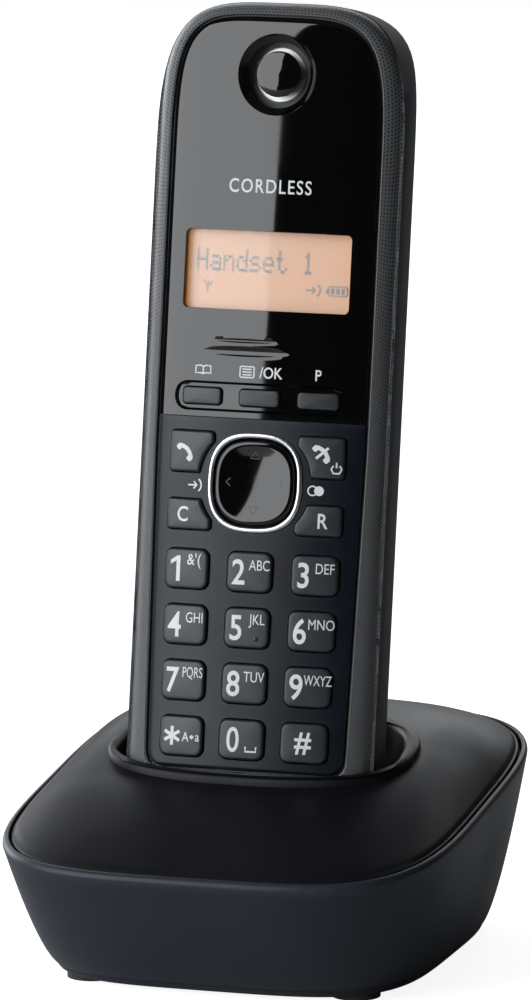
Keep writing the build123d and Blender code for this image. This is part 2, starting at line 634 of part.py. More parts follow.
def wall_rings(inset, low):
    """Rings up the side wall, from height low at the bottom to just under the rim."""
    rings = []
    for share in WALL_SHARES:
        spread = share ** WALL_BULGE
        half_x = FOOTPRINT_WIDTH / 2 + (BASE_WIDTH - FOOTPRINT_WIDTH) / 2 * spread - inset
        half_y = FOOTPRINT_DEPTH / 2 + (BASE_DEPTH - FOOTPRINT_DEPTH) / 2 * spread - inset
        top = RIM_HEIGHT - LIP_ROUND
        rings.append(base_ring(half_x, half_y, FOOTPRINT_SHIFT * (1 - spread), RIM_SQUARENESS,
                               low + (top - low) * share, RIM_SLOPE * share))
    return rings


def rim_ring(share, drop):
    inset = LIP_ROUND * share
    return base_ring(BASE_WIDTH / 2 - inset, BASE_DEPTH / 2 - inset, 0, RIM_SQUARENESS,
                     RIM_HEIGHT - LIP_ROUND * drop, RIM_SLOPE)


floor_ring = base_ring(FOOTPRINT_WIDTH / 2 - 1.2, FOOTPRINT_DEPTH / 2 - 1.2, FOOTPRINT_SHIFT,
                       RIM_SQUARENESS, FOOT_HEIGHT, 0)
shell_outer = Solid.make_loft([floor_ring] + wall_rings(0, FOOT_HEIGHT + 1.2)
                              + [rim_ring(0.3, 0.3), rim_ring(0.85, 0)], True)
inner_rings = wall_rings(BASE_WALL, FOOT_HEIGHT + BASE_WALL)
inner_top = base_ring(BASE_WIDTH / 2 - BASE_WALL, BASE_DEPTH / 2 - BASE_WALL, 0, RIM_SQUARENESS,
                      RIM_HEIGHT + 2, RIM_SLOPE)
shell_inner = Solid.make_loft(inner_rings + [inner_top], True)
shell_near = Solid.make_loft([floor_ring] + wall_rings(0.3, FOOT_HEIGHT + 1.2), True)


def seat_ring(inset, drop):
    half_x = BASE_WIDTH / 2 - RIM_LIP - inset
    half_y = BASE_DEPTH / 2 - RIM_LIP - inset
    return base_ring(half_x, half_y, 0, RIM_SQUARENESS, RIM_HEIGHT - drop, RIM_SLOPE)


COVER_EDGE = 2.4
seat = Solid.make_loft([seat_ring(0, COVER_EDGE), seat_ring(0, -3)], True)


def dome_rings(inset, drop):
    """Rings of the cover, from its edge at the rim to the cradle's lip."""
    rings = []
    edge_x = BASE_WIDTH / 2 - RIM_LIP - RIM_GROOVE - inset
    edge_y = BASE_DEPTH / 2 - RIM_LIP - RIM_GROOVE - inset
    for share in DOME_SHARES:
        rise = 1 - (1 - share) ** DOME_CROWN
        half_x = edge_x + (LIP_WIDTH / 2 - inset * 0.5 - edge_x) * share
        half_y = edge_y + (LIP_DEPTH / 2 - inset * 0.5 - edge_y) * share
        n = RIM_SQUARENESS + (2.6 - RIM_SQUARENESS) * share
        z = RIM_HEIGHT + (LIP_HEIGHT - LIP_ROUND - RIM_HEIGHT) * rise - drop
        slope = RIM_SLOPE + (LIP_SLOPE - RIM_SLOPE) * rise
        rings.append(base_ring(half_x, half_y, LIP_SHIFT * share, n, z, slope))
    return rings


cover_foot = seat_ring(RIM_GROOVE, COVER_EDGE)
lip_crown = base_ring(LIP_WIDTH / 2 - LIP_ROUND * 0.7, LIP_DEPTH / 2 - LIP_ROUND * 0.7, LIP_SHIFT,
                      2.6, LIP_HEIGHT, LIP_SLOPE)
dome_outer = Solid.make_loft([cover_foot] + dome_rings(0, 0) + [lip_crown], True)
low_inner = base_ring(BASE_WIDTH / 2 - BASE_WALL - 0.8, BASE_DEPTH / 2 - BASE_WALL - 0.8, 0,
                      RIM_SQUARENESS, RIM_HEIGHT - COVER_EDGE - 1, RIM_SLOPE)
dome_inner = Solid.make_loft([low_inner] + dome_rings(COVER_WALL, COVER_WALL), True)


def well_body(extra):
    """The space round the handset's end, widening from the cradle's floor to its mouth."""
    rings = []
    for v, share in ((V_END - FLOOR_GAP - extra, 0), (V_END + 4, 0), (V_END + 12, 0.45),
                     (V_END + 19, 1), (V_END + 32, 1.6)):
        flare = WELL_FLARE * share
        rings.append(handset_wire(v, -WELL_CLEARANCE - flare - extra, flare / 2))
    return HANDSET * Solid.make_loft(rings, True)


well_space = well_body(0)
well_wall = well_body(WELL_WALL)
below_rim = block(-FAR, FAR, -FAR, FAR, 0, RIM_HEIGHT)
cover = (dome_outer - dome_inner) + (well_wall & dome_outer) + (well_wall & below_rim)

shell = shell_outer - shell_inner - seat

# --- base: fasteners, feet and boards ---------------------------------------------------------
screw_places = [(x, y) for x in (-BASE_SCREW_X, BASE_SCREW_X) for y in (BASE_SCREW_FRONT, BASE_SCREW_BACK)]
floor_top = FOOT_HEIGHT + BASE_WALL
base_screws = []
for x, y in screw_places:
    post_base = floor_top + 4.1
    post = disc(x, y, 3.2, post_base, RIM_HEIGHT + RIM_SLOPE * y - 1)
    post = post + (disc(x, y, 3.2, post_base, RIM_HEIGHT + 12) & dome_outer)
    cover = cover + (post - disc(x, y, SCREW_SHANK / 2, floor_top, floor_top + 16))
    tube = disc(x, y, 4.0, FOOT_HEIGHT + 0.5, floor_top + 4)
    shell = shell + tube
    shell = shell - disc(x, y, SCREW_SHANK / 2 + 0.3, 0, floor_top + 8)
    shell = shell - disc(x, y, SCREW_HEAD / 2 + 0.4, 0, floor_top)
    head = disc(x, y, SCREW_HEAD / 2, floor_top - 1.6, floor_top)
    drive = block(-0.35, 0.35, -1.3, 1.3, -1, 0) + block(-1.3, 1.3, -0.35, 0.35, -1, 0)
    head = head - Pos(x, y, floor_top - 0.7) * drive
    base_screws.append(head + disc(x, y, SCREW_SHANK / 2, floor_top, floor_top + 13))

foot_x = FOOTPRINT_WIDTH / 2 - FOOT_DIAMETER / 2 - FOOT_MARGIN
foot_y = FOOTPRINT_DEPTH / 2 - FOOT_DIAMETER / 2 - FOOT_MARGIN
feet = []
for x in (-foot_x, foot_x):
    for y in (FOOTPRINT_SHIFT - foot_y, FOOTPRINT_SHIFT + foot_y):
        feet.append(disc(x, y, FOOT_DIAMETER / 2, 0, FOOT_HEIGHT + FOOT_SOCKET))
        shell = shell - disc(x, y, FOOT_DIAMETER / 2, 0, FOOT_HEIGHT + FOOT_SOCKET)
parts["base_feet"] = Compound(children=feet)
parts["base_screws"] = Compound(children=base_screws)

back = BASE_DEPTH / 2
board_back = FOOTPRINT_DEPTH / 2 + FOOTPRINT_SHIFT - 5
board_front = board_back - 62
board = block(-BASE_BOARD_WIDTH / 2, BASE_BOARD_WIDTH / 2, board_front, board_back,
              BASE_BOARD_Z, BASE_BOARD_Z + BASE_BOARD_THICKNESS)
for x, y in screw_places:
    board = board - disc(x, y, 4.6, 0, FAR)
for x in (-BASE_BOARD_WIDTH / 2 + 4, BASE_BOARD_WIDTH / 2 - 4):
    for y in (board_front + 4, board_back - 16):
        shell = shell + disc(x, y, 1.8, FOOT_HEIGHT + 0.5, BASE_BOARD_Z)
parts["base_circuit_board"] = board
board_top = BASE_BOARD_Z + BASE_BOARD_THICKNESS

# jacks in the back wall, cut off flush with it
jack_front = back - 9 - JACK_LENGTH
line_jack = block(LINE_JACK_X - LINE_JACK_WIDTH / 2, LINE_JACK_X + LINE_JACK_WIDTH / 2, jack_front,
                  back, board_top, board_top + LINE_JACK_HEIGHT)
shell = shell - (line_jack & shell_outer)
line_jack = line_jack & shell_near
reach = line_jack.bounding_box().max.Y
line_middle = board_top + LINE_JACK_HEIGHT / 2
mouth = block(LINE_JACK_X - LINE_MOUTH_WIDTH / 2, LINE_JACK_X + LINE_MOUTH_WIDTH / 2,
              reach - LINE_MOUTH_DEPTH, back, line_middle - LINE_MOUTH_HEIGHT / 2,
              line_middle + LINE_MOUTH_HEIGHT / 2)
line_jack = line_jack - mouth
wires = []
for i in range(4):
    x = LINE_JACK_X + (i - 1.5) * 1.02
    top = line_middle + LINE_MOUTH_HEIGHT / 2
    wires.append(block(x - 0.2, x + 0.2, reach - LINE_MOUTH_DEPTH, reach - 4, top - 0.4, top))
parts["line_jack"] = line_jack
parts["line_jack_contacts"] = Compound(children=wires)

dc_jack = block(DC_JACK_X - DC_JACK_WIDTH / 2, DC_JACK_X + DC_JACK_WIDTH / 2, jack_front,
                back, board_top, board_top + DC_JACK_HEIGHT)
shell = shell - (dc_jack & shell_outer)
dc_jack = dc_jack & shell_near
dc_middle = board_top + DC_JACK_HEIGHT / 2
dc_reach = dc_jack.bounding_box().max.Y
along = Pos(DC_JACK_X, dc_reach, dc_middle) * Rot(90, 0, 0)
dc_jack = dc_jack - along * disc(0, 0, DC_BORE_DIAMETER / 2, -10, DC_BORE_DEPTH)
parts["dc_jack"] = dc_jack
pin = along * disc(0, 0, DC_PIN_DIAMETER / 2, 2.0, DC_BORE_DEPTH)
parts["dc_jack_pin"] = pin

# locator button between the jacks
button_axis = Pos(0, 0, LOCATOR_Z) * Rot(90, 0, 0)
wall_there = shell_near & (button_axis * disc(0, 0, LOCATOR_DIAMETER / 2, -FAR, 0))
wall_face = wall_there.bounding_box().max.Y
button = button_axis * disc(0, 0, LOCATOR_DIAMETER / 2, -wall_face + 0.4, -wall_face + 6.0)
button = button + button_axis * disc(0, 0, LOCATOR_DIAMETER / 2 + 0.8, -wall_face + 4.8, -wall_face + 6.0)
button_hole = button_axis * disc(0, 0, LOCATOR_DIAMETER / 2 + LOCATOR_GAP, -FAR, 0)
flange_room = button_axis * disc(0, 0, LOCATOR_DIAMETER / 2 + 1.4, -wall_face + 4.7, 0)
shell = shell - (button_hole & block(-10, 10, 20, FAR, 0, FAR)) - (flange_room & block(-10, 10, 20, FAR, 0, FAR))
parts["locator_button"] = button
switch = block(-3, 3, wall_face - 13, wall_face - 7.1, board_top, LOCATOR_Z + 2.5)
parts["locator_switch"] = switch

shield = block(-14, 14, board_front + 6, board_front + 26, board_top, board_top + 3.0)
shield = shield - block(-13.7, 13.7, board_front + 6.3, board_front + 25.7, 0, board_top + 2.7)
parts["base_radio_shield"] = shield

# charging contacts: sprung pins through the cradle's floor, under the handset's charge pads
pin_radius = 1.5
for side, name in ((-1, "charge_contact_left"), (1, "charge_contact_right")):
    u = side * CHARGE_PAD_U
    place = HANDSET * Pos(u, V_END - CONTACT_GAP, CHARGE_PAD_W) * Rot(90, 0, 0)
    plunger = place * (disc(0, 0, pin_radius, 0, 5.0) + disc(0, 0, pin_radius + 0.7, 3.6, 5.0))
    parts[name] = plunger
    guide = place * disc(0, 0, pin_radius + 2.0, 1.0, 3.5)
    cover = cover + guide
    bore = place * disc(0, 0, pin_radius + 0.1, -1, 6)
    cover = cover - bore
    cover = cover - place * disc(0, 0, pin_radius + 2.5, 3.5, 8)
cover = cover - well_space
parts["base_top_cover"] = cover
parts["base_lower_shell"] = shell

# --- write one file for each piece ------------------------------------------------------------
os.makedirs("parts", exist_ok=True)
for name, shape in parts.items():
    export_step(shape, os.path.join("parts", name + ".step"))
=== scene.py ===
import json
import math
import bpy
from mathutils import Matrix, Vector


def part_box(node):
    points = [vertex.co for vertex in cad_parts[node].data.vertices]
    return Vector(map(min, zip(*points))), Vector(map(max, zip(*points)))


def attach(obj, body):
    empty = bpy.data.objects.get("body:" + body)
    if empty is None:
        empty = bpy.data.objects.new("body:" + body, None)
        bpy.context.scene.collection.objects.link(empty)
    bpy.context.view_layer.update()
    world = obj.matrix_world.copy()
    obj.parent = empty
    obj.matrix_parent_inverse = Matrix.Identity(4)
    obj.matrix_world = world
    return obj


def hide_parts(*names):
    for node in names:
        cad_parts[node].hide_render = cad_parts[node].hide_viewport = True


bl_info = {
    "name": "Cordless Phone Builder",
    "version": (1, 0, 0),
    "blender": (4, 5, 0),
    "location": "View3D > Sidebar > Phone",
    "description": "Builds the cases, keys, base, finishes and stage of a cordless phone",
    "category": "Add Mesh",
}

import bmesh
import bpy
from mathutils import Vector

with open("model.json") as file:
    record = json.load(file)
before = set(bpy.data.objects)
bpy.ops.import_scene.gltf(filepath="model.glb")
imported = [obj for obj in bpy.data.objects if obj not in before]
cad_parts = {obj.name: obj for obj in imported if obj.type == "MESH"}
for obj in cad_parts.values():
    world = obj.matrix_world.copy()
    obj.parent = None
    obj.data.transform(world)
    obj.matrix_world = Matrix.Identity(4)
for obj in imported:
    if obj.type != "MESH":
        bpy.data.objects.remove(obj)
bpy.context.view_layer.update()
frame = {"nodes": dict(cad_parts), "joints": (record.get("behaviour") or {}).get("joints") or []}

# Lengths in this file are in millimetres, and are turned into metres when a mesh is made.
MM = 0.001
JOINTS = {joint["name"]: joint for joint in frame["joints"]}

# --- handset frame: u across, v up its length from key 0, w out of the face -------------------
RING_V = 47.35
PIVOT_DEPTH = 3.2
ALONG = Vector(JOINTS["handset_lift"]["axis"])
OUT = Vector((0, -ALONG.z, ALONG.y))
ACROSS = Vector((1, 0, 0))
HANDSET_ORIGIN = (Vector(JOINTS["navigator_up_down"]["pos_m"])
                  - ALONG * (RING_V * MM) + OUT * (PIVOT_DEPTH * MM))


def on_handset(u, v, w):
    """A point of the handset's own frame, in metres in the row frame."""
    return HANDSET_ORIGIN + (ACROSS * u + ALONG * v + OUT * w) * MM


def on_base(x, y, z):
    """A point of the base, in metres in the row frame."""
    return Vector((x, y, z)) * MM


# --- sizes of the handset's form --------------------------------------------------------------
HALF_WIDTH = 23.9
FRONT_CROWN = 7.6
FRONT_SQUARENESS = 2.45
BACK_CROWN = 19.4
BACK_SQUARENESS = 2.9
V_LOW = -20.0
V_HIGH = 136.0
CAP_START = 100.0
CAP_LENGTH = 36.0
CAP_SQUARENESS = 4.0
END_ROUND = 2.5
SEAM_DEPTH = 5.4
CASE_WALL = 1.8

FASCIA_HALF = 19.9
FASCIA_FOOT_HALF = 18.8
FASCIA_LOW = -5.8
FASCIA_HIGH = 133.2
FASCIA_CAP_START = 102.2
FASCIA_SQUARENESS = 4.4
FASCIA_CORNER = 3.0
PANEL_THICKNESS = 1.2
PANEL_SPLIT = 59.1
PANEL_JOINT = 0.15
WINDOW = (0.0, 86.4, 32.0, 14.6, 1.0)      # middle u and v, width, height, corner
SOFT_SLOT = (0.0, 62.95, 33.8, 5.8, 2.8)
EARPIECE = (0.4, 122.7, 7.6)               # middle u and v, radius

KEY_GAP = 0.25
RING_HALF = (9.1, 9.25)                    # half width and height of the silver ring
NAVIGATOR_HALF = (7.7, 7.85)
SIGN_V = 67.7                              # signs above the soft keys
DOOR = (6.0, 61.0, 16.5, 3.0)              # low and high v, half width, corner


def power(base, exponent):
    """A power that takes a rounding error below nought as nought."""
    return max(base, 0.0) ** exponent


def fullness(u, v, squareness, end_share, inset):
    """0 along the handset's middle line, 1 at its outline."""
    half = HALF_WIDTH - inset
    across = min(abs(u) / half, 1.0)
    up = max(0.0, (v - CAP_START) / (CAP_LENGTH - inset))
    down = max(0.0, (V_LOW + inset + END_ROUND - v) / END_ROUND)
    rim = min(power(across ** CAP_SQUARENESS + up ** CAP_SQUARENESS, 1 / CAP_SQUARENESS), 1.0)
    left = 1 - across ** squareness
    left *= 1 - rim ** 40
    left *= 1 - end_share * min(up, 1.0) ** 12
    left *= 1 - 0.35 * min(down, 1.0) ** 3
    return 1 - max(left, 0.0)


def front_depth(u, v, inset=0.0):
    """How far the front of the case lies behind the middle of the face."""
    left = 1 - fullness(u, v, FRONT_SQUARENESS, 0.5, inset)
    return FRONT_CROWN - (FRONT_CROWN - inset) * left ** (1 / FRONT_SQUARENESS)


def back_depth(u, v, inset=0.0):
    """How far the back of the case lies behind the middle of the face."""
    left = 1 - fullness(u, v, BACK_SQUARENESS, 0.85, inset)
    return FRONT_CROWN + (BACK_CROWN - inset) * left ** (1 / BACK_SQUARENESS)


# --- outlines ---------------------------------------------------------------------------------
def arc(cx, cy, radius, start, end, steps):
    angles = [math.radians(start + (end - start) * i / steps) for i in range(steps + 1)]
    return [(cx + radius * math.cos(a), cy + radius * math.sin(a)) for a in angles]


def rounded_box(cx, cy, width, height, corner, steps=6):
    """A rectangle with rounded corners about its middle."""
    x, y = width / 2 - corner, height / 2 - corner
    points = arc(cx + x, cy + y, corner, 0, 90, steps)
    points += arc(cx - x, cy + y, corner, 90, 180, steps)
    points += arc(cx - x, cy - y, corner, 180, 270, steps)
    points += arc(cx + x, cy - y, corner, 270, 360, steps)
    return points


def circle(cx, cy, radius, steps=48):
    return arc(cx, cy, radius, 0, 360, steps)[:-1]


def oval(half_x, half_y, n, count, cx=0.0, cy=0.0):
    """A superellipse whose points are spread evenly by direction."""
    points = []
    for i in range(count):
        c, s = math.cos(2 * math.pi * i / count), math.sin(2 * math.pi * i / count)
        size = power(abs(c) ** n + abs(s) ** n, 1 / n)
        points.append((cx + half_x * c / size, cy + half_y * s / size))
    return points


def plan_outline(half, foot_half, low, corner, cap_start, cap_length, n, inset=0.0):
    """Half of an upright outline: bottom middle, corner, side, round top to the middle."""
    half, foot_half, low = half - inset, foot_half - inset, low + inset
    cap_length -= inset
    points = [((foot_half - corner) * i / 8, low) for i in range(8)]
    points += arc(foot_half - corner, low + corner, corner, -90, 0, 6)
    start = points[-1][1]
    for i in range(1, 60):
        share = i / 60
        v = start + (cap_start - start) * share
        points.append((foot_half + (half - foot_half) * min(1, (v - low) / 60), v))
    for i in range(33):
        angle = math.pi / 2 * i / 32
        c, s = math.cos(angle), math.sin(angle)
        size = power(c ** n + s ** n, 1 / n)
        points.append((half * c / size, cap_start + cap_length * s / size))
    points[-1] = (0.0, cap_start + cap_length)
    left = [(-u, v) for u, v in reversed(points[1:-1])]
    return points + left


def body_outline(inset=0.0):
    """The handset's outline at its seam."""
    return plan_outline(HALF_WIDTH, HALF_WIDTH, V_LOW, END_ROUND, CAP_START, CAP_LENGTH,
                        CAP_SQUARENESS, inset)


def fascia_outline(inset=0.0):
    """The outline of the two front panels together."""
    return plan_outline(FASCIA_HALF, FASCIA_FOOT_HALF, FASCIA_LOW, FASCIA_CORNER,
                        FASCIA_CAP_START, FASCIA_HIGH - FASCIA_CAP_START, FASCIA_SQUARENESS, inset)


def fascia_half(v):
    """Half width of the fascia at height v."""
    if v > FASCIA_CAP_START:
        up = (v - FASCIA_CAP_START) / (FASCIA_HIGH - FASCIA_CAP_START)
        return FASCIA_HALF * power(1 - up ** FASCIA_SQUARENESS, 1 / FASCIA_SQUARENESS)
    half = FASCIA_FOOT_HALF + (FASCIA_HALF - FASCIA_FOOT_HALF) * min(1, (v - FASCIA_LOW) / 60)
    drop = FASCIA_LOW + FASCIA_CORNER - v
    if drop > 0:
        half -= FASCIA_CORNER - math.sqrt(max(FASCIA_CORNER ** 2 - drop ** 2, 0))
    return half


# --- meshes -----------------------------------------------------------------------------------
class Shape:
    """Points and faces of one piece, gathered in millimetres."""

    def __init__(self):
        self.points = []
        self.faces = []
        self.paint = []
        self.place = {}

    def add(self, points, places=None):
        """Adds points and gives their numbers."""
        first = len(self.points)
        self.points.extend(points)
        if places:
            for i, place in enumerate(places):
                self.place[first + i] = place
        return list(range(first, len(self.points)))

    def face(self, indices, paint=0):
        """Adds a face; paint is the number of its material."""
        self.faces.append(tuple(indices))
        self.paint.append(paint)

    def skirt(self, lower, upper):
        """Quads between two closed rings with the same number of points."""
        count = len(lower)
        for i in range(count):
            j = (i + 1) % count
            self.face((lower[i], lower[j], upper[j], upper[i]))

    def rings(self, rings, closed=False, places=None):
        """A tube through rings of points; closed joins the last ring to the first."""
        made = []
        for i, ring in enumerate(rings):
            made.append(self.add(ring, places[i] if places else None))
        for lower, upper in zip(made, made[1:]):
            self.skirt(lower, upper)
        if closed:
            self.skirt(made[-1], made[0])
        else:
            self.face(made[0][::-1])
            self.face(made[-1])

    def prism(self, outline, low, high):
        """An outline drawn out between two heights."""
        self.rings([[(u, v, low) for u, v in outline], [(u, v, high) for u, v in outline]])

    def plate(self, rows, columns, half, top, bottom, middle=0.0):
        """A closed plate over rows of heights v, each as wide as half(v) says."""
        sides = []
        for surface in (top, bottom):
            grid = []
            for v in rows:
                width = half(v)
                grid.append(self.add([(middle + width * t, v, surface(middle + width * t, v))
                                      for t in columns]))
            for a, b in zip(grid, grid[1:]):
                for i in range(len(columns) - 1):
                    self.face((a[i], a[i + 1], b[i + 1], b[i]))
            sides.append(grid)
        over, under = sides
        for i in range(len(rows) - 1):
            for j in (0, -1):
                self.face((over[i][j], over[i + 1][j], under[i + 1][j], under[i][j]))
        for row in (0, -1):
            for i in range(len(columns) - 1):
                self.face((over[row][i], over[row][i + 1], under[row][i + 1], under[row][i]))

    def merge(self, points, faces, paint):
        """Adds a ready mesh in one paint."""
        first = len(self.points)
        self.points.extend(points)
        for indices in faces:
            self.face([first + i for i in indices], paint)


def smooth(mesh):
    """Smooth shading, with edges over an angle kept sharp."""
    mesh.shade_smooth()
    mesh.set_sharp_from_angle(angle=math.radians(35.0))


def mesh_of(shape, name, place):
    """The shape as a mesh object, smooth shaded up to an angle."""
    mesh = bpy.data.meshes.new(name)
    mesh.from_pydata([place(*p) for p in shape.points], [], shape.faces)
    mesh.polygons.foreach_set("material_index", shape.paint)
    if shape.place:
        layer = mesh.attributes.new("texture_place", "FLOAT_VECTOR", "POINT")
        for i, (along, across) in shape.place.items():
            layer.data[i].vector = (along, across, 0.0)
    work = bmesh.new()
    work.from_mesh(mesh)
    bmesh.ops.remove_doubles(work, verts=work.verts, dist=0.002 * MM)
    bmesh.ops.dissolve_degenerate(work, edges=work.edges, dist=0.001 * MM)
    bmesh.ops.recalc_face_normals(work, faces=work.faces)
    work.to_mesh(mesh)
    work.free()
    smooth(mesh)
    piece = bpy.data.objects.new(name, mesh)
    bpy.context.scene.collection.objects.link(piece)
    return piece


def carve(piece, cutter, place):
    """Cuts the cutter's shapes out of a piece."""
    tool = mesh_of(cutter, piece.name + "_cutter", place)
    change = piece.modifiers.new("carve", "BOOLEAN")
    change.operation = "DIFFERENCE"
    change.solver = "EXACT"
    change.use_self = True
    change.object = tool
    graph = bpy.context.evaluated_depsgraph_get()
    cut = bpy.data.meshes.new_from_object(piece.evaluated_get(graph))
    piece.modifiers.clear()
    old = piece.data
    piece.data = cut
    bpy.data.meshes.remove(old)
    bpy.data.objects.remove(tool)
    smooth(cut)


def settle(piece, body, materials, stands_for=()):
    """Gives a finished mesh its materials and its body, and hides the CAD nodes that it stands for."""
    for name in materials:
        piece.data.materials.append(finish(name))
    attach(piece, body)
    if stands_for:
        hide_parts(*stands_for)


# --- lettering and strokes --------------------------------------------------------------------
def lettering(text, size, weight=0.0, stretch=1.0, spacing=1.0):
    """Points and faces of a raised line of text about its own middle, in the XY plane."""
    curve = bpy.data.curves.new("lettering", "FONT")
    curve.body = text
    curve.size = size
    curve.align_x = "CENTER"
    curve.align_y = "CENTER"
    curve.space_character = spacing
    curve.extrude = 0.05
    curve.offset = weight
    curve.resolution_u = 5
    holder = bpy.data.objects.new("lettering", curve)
    bpy.context.scene.collection.objects.link(holder)
    graph = bpy.context.evaluated_depsgraph_get()
    mesh = bpy.data.meshes.new_from_object(holder.evaluated_get(graph))
    points = [(v.co.x * stretch, v.co.y, v.co.z) for v in mesh.vertices]
    faces = [tuple(p.vertices) for p in mesh.polygons]
    bpy.data.objects.remove(holder)
    bpy.data.curves.remove(curve)
    bpy.data.meshes.remove(mesh)
    low_x, high_x = min(p[0] for p in points), max(p[0] for p in points)
    low_y, high_y = min(p[1] for p in points), max(p[1] for p in points)
    mid_x, mid_y = (low_x + high_x) / 2, (low_y + high_y) / 2
    return [(x - mid_x, y - mid_y, z) for x, y, z in points], faces


def stroke(points, width, closed=False):
    """A flat ribbon of even width along a line of points, 0.1 thick."""
    count = len(points)
    left, right = [], []
    for i, (x, y) in enumerate(points):
        if closed:
            before, after = points[i - 1], points[(i + 1) % count]
        else:
            before, after = points[max(i - 1, 0)], points[min(i + 1, count - 1)]
        dx, dy = after[0] - before[0], after[1] - before[1]
        length = math.hypot(dx, dy) or 1.0
        nx, ny = -dy / length * width / 2, dx / length * width / 2
        left.append((x + nx, y + ny))
        right.append((x - nx, y - ny))
    spots = []
    for z in (0.05, -0.05):
        spots += [(x, y, z) for x, y in left] + [(x, y, z) for x, y in right]
    faces = []
    last = count if closed else count - 1
    for i in range(last):
        j = (i + 1) % count
        top = (i, j, count + j, count + i)
        low = tuple(k + 2 * count for k in reversed(top))
        faces += [top, low]
        faces.append((i, i + 2 * count, j + 2 * count, j))
        faces.append((count + i, count + j, count + j + 2 * count, count + i + 2 * count))
    if not closed:
        for i in (0, count - 1):
            faces.append((i, count + i, count + i + 2 * count, i + 2 * count))
    return spots, faces


def filled(outline):
    """A flat patch inside an outline, 0.1 thick."""
    count = len(outline)
    spots = [(x, y, 0.05) for x, y in outline] + [(x, y, -0.05) for x, y in outline]
    faces = [tuple(range(count)), tuple(reversed(range(count, 2 * count)))]
    for i in range(count):
        j = (i + 1) % count
        faces.append((i, i + count, j + count, j))
    return spots, faces


def ink(shape, drawing, u, v, surface, lift=0.0, turn=0.0, scale=1.0, paint=1):
    """Lays a drawing on a surface, where surface(u, v) gives the height w."""
    spots, faces = drawing
    c, s = math.cos(math.radians(turn)), math.sin(math.radians(turn))
    laid = []
    for x, y, z in spots:
        x, y = x * scale, y * scale
        here = (u + x * c - y * s, v + x * s + y * c)
        laid.append((here[0], here[1], surface(*here) + lift + z))
    shape.merge(laid, faces, paint)


# --- finishes ---------------------------------------------------------------------------------
def new_group(name, inputs, outputs):
    """A shader node group with named float or vector inputs and outputs."""
    group = bpy.data.node_groups.new(name, "ShaderNodeTree")
    for label, kind, value in inputs:
        socket = group.interface.new_socket(label, in_out="INPUT", socket_type=kind)
        if value is not None:
            socket.default_value = value
    for label, kind in outputs:
        group.interface.new_socket(label, in_out="OUTPUT", socket_type=kind)
    return group


def add(tree, kind, **values):
    """A new node with the given properties."""
    node = tree.nodes.new(kind)
    for key, value in values.items():
        setattr(node, key, value)
    return node


def math_node(tree, operation, a, b=None):
    """The result of a sum on numbers or sockets."""
    node = add(tree, "ShaderNodeMath", operation=operation)
    for socket, value in zip(node.inputs, (a, b)):
        if isinstance(value, (int, float)):
            socket.default_value = value
        elif value is not None:
            tree.links.new(value, socket)
    return node.outputs[0]


def ramp(tree, source, low, high, to_low=0.0, to_high=1.0):
    """The source, smoothly stretched from one range to another."""
    node = add(tree, "ShaderNodeMapRange", interpolation_type="SMOOTHSTEP")
    tree.links.new(source, node.inputs["Value"])
    for label, value in (("From Min", low), ("From Max", high),
                         ("To Min", to_low), ("To Max", to_high)):
        node.inputs[label].default_value = value
    return node.outputs["Result"]


def grain_group():
    """Fine moulded texture: a height for bump and a slow variation of finish."""
    group = new_group("Moulded Grain", [("Scale", "NodeSocketFloat", 2500.0)],
                      [("Height", "NodeSocketFloat"), ("Variation", "NodeSocketFloat")])
    start, end = add(group, "NodeGroupInput"), add(group, "NodeGroupOutput")
    where = add(group, "ShaderNodeTexCoord")
    fine = add(group, "ShaderNodeTexNoise")
    fine.inputs["Detail"].default_value = 4
    fine.inputs["Roughness"].default_value = 0.6
    slow = add(group, "ShaderNodeTexNoise")
    slow.inputs["Scale"].default_value = 55
    slow.inputs["Detail"].default_value = 5
    group.links.new(where.outputs["Object"], fine.inputs["Vector"])
    group.links.new(where.outputs["Object"], slow.inputs["Vector"])
    group.links.new(start.outputs["Scale"], fine.inputs["Scale"])
    group.links.new(fine.outputs["Fac"], end.inputs["Height"])
    group.links.new(ramp(group, slow.outputs["Fac"], 0.3, 0.7), end.inputs["Variation"])
    return group


def wear_group():
    """Where handling has polished the corners."""
    group = new_group("Edge Polish", [("Reach", "NodeSocketFloat", 0.06)],
                      [("Mask", "NodeSocketFloat")])
    start, end = add(group, "NodeGroupInput"), add(group, "NodeGroupOutput")
    form = add(group, "ShaderNodeNewGeometry")
    lift = math_node(group, "SUBTRACT", form.outputs["Pointiness"], 0.5)
    share = math_node(group, "DIVIDE", lift, start.outputs["Reach"])
    noise = add(group, "ShaderNodeTexNoise")
    noise.inputs["Scale"].default_value = 900
    where = add(group, "ShaderNodeTexCoord")
    group.links.new(where.outputs["Object"], noise.inputs["Vector"])
    patches = ramp(group, noise.outputs["Fac"], 0.35, 0.65, 0.5, 1.0)
    broken = math_node(group, "MULTIPLY", share, patches)
    limit = add(group, "ShaderNodeClamp")
    group.links.new(broken, limit.inputs["Value"])
    group.links.new(limit.outputs["Result"], end.inputs["Mask"])
    return group


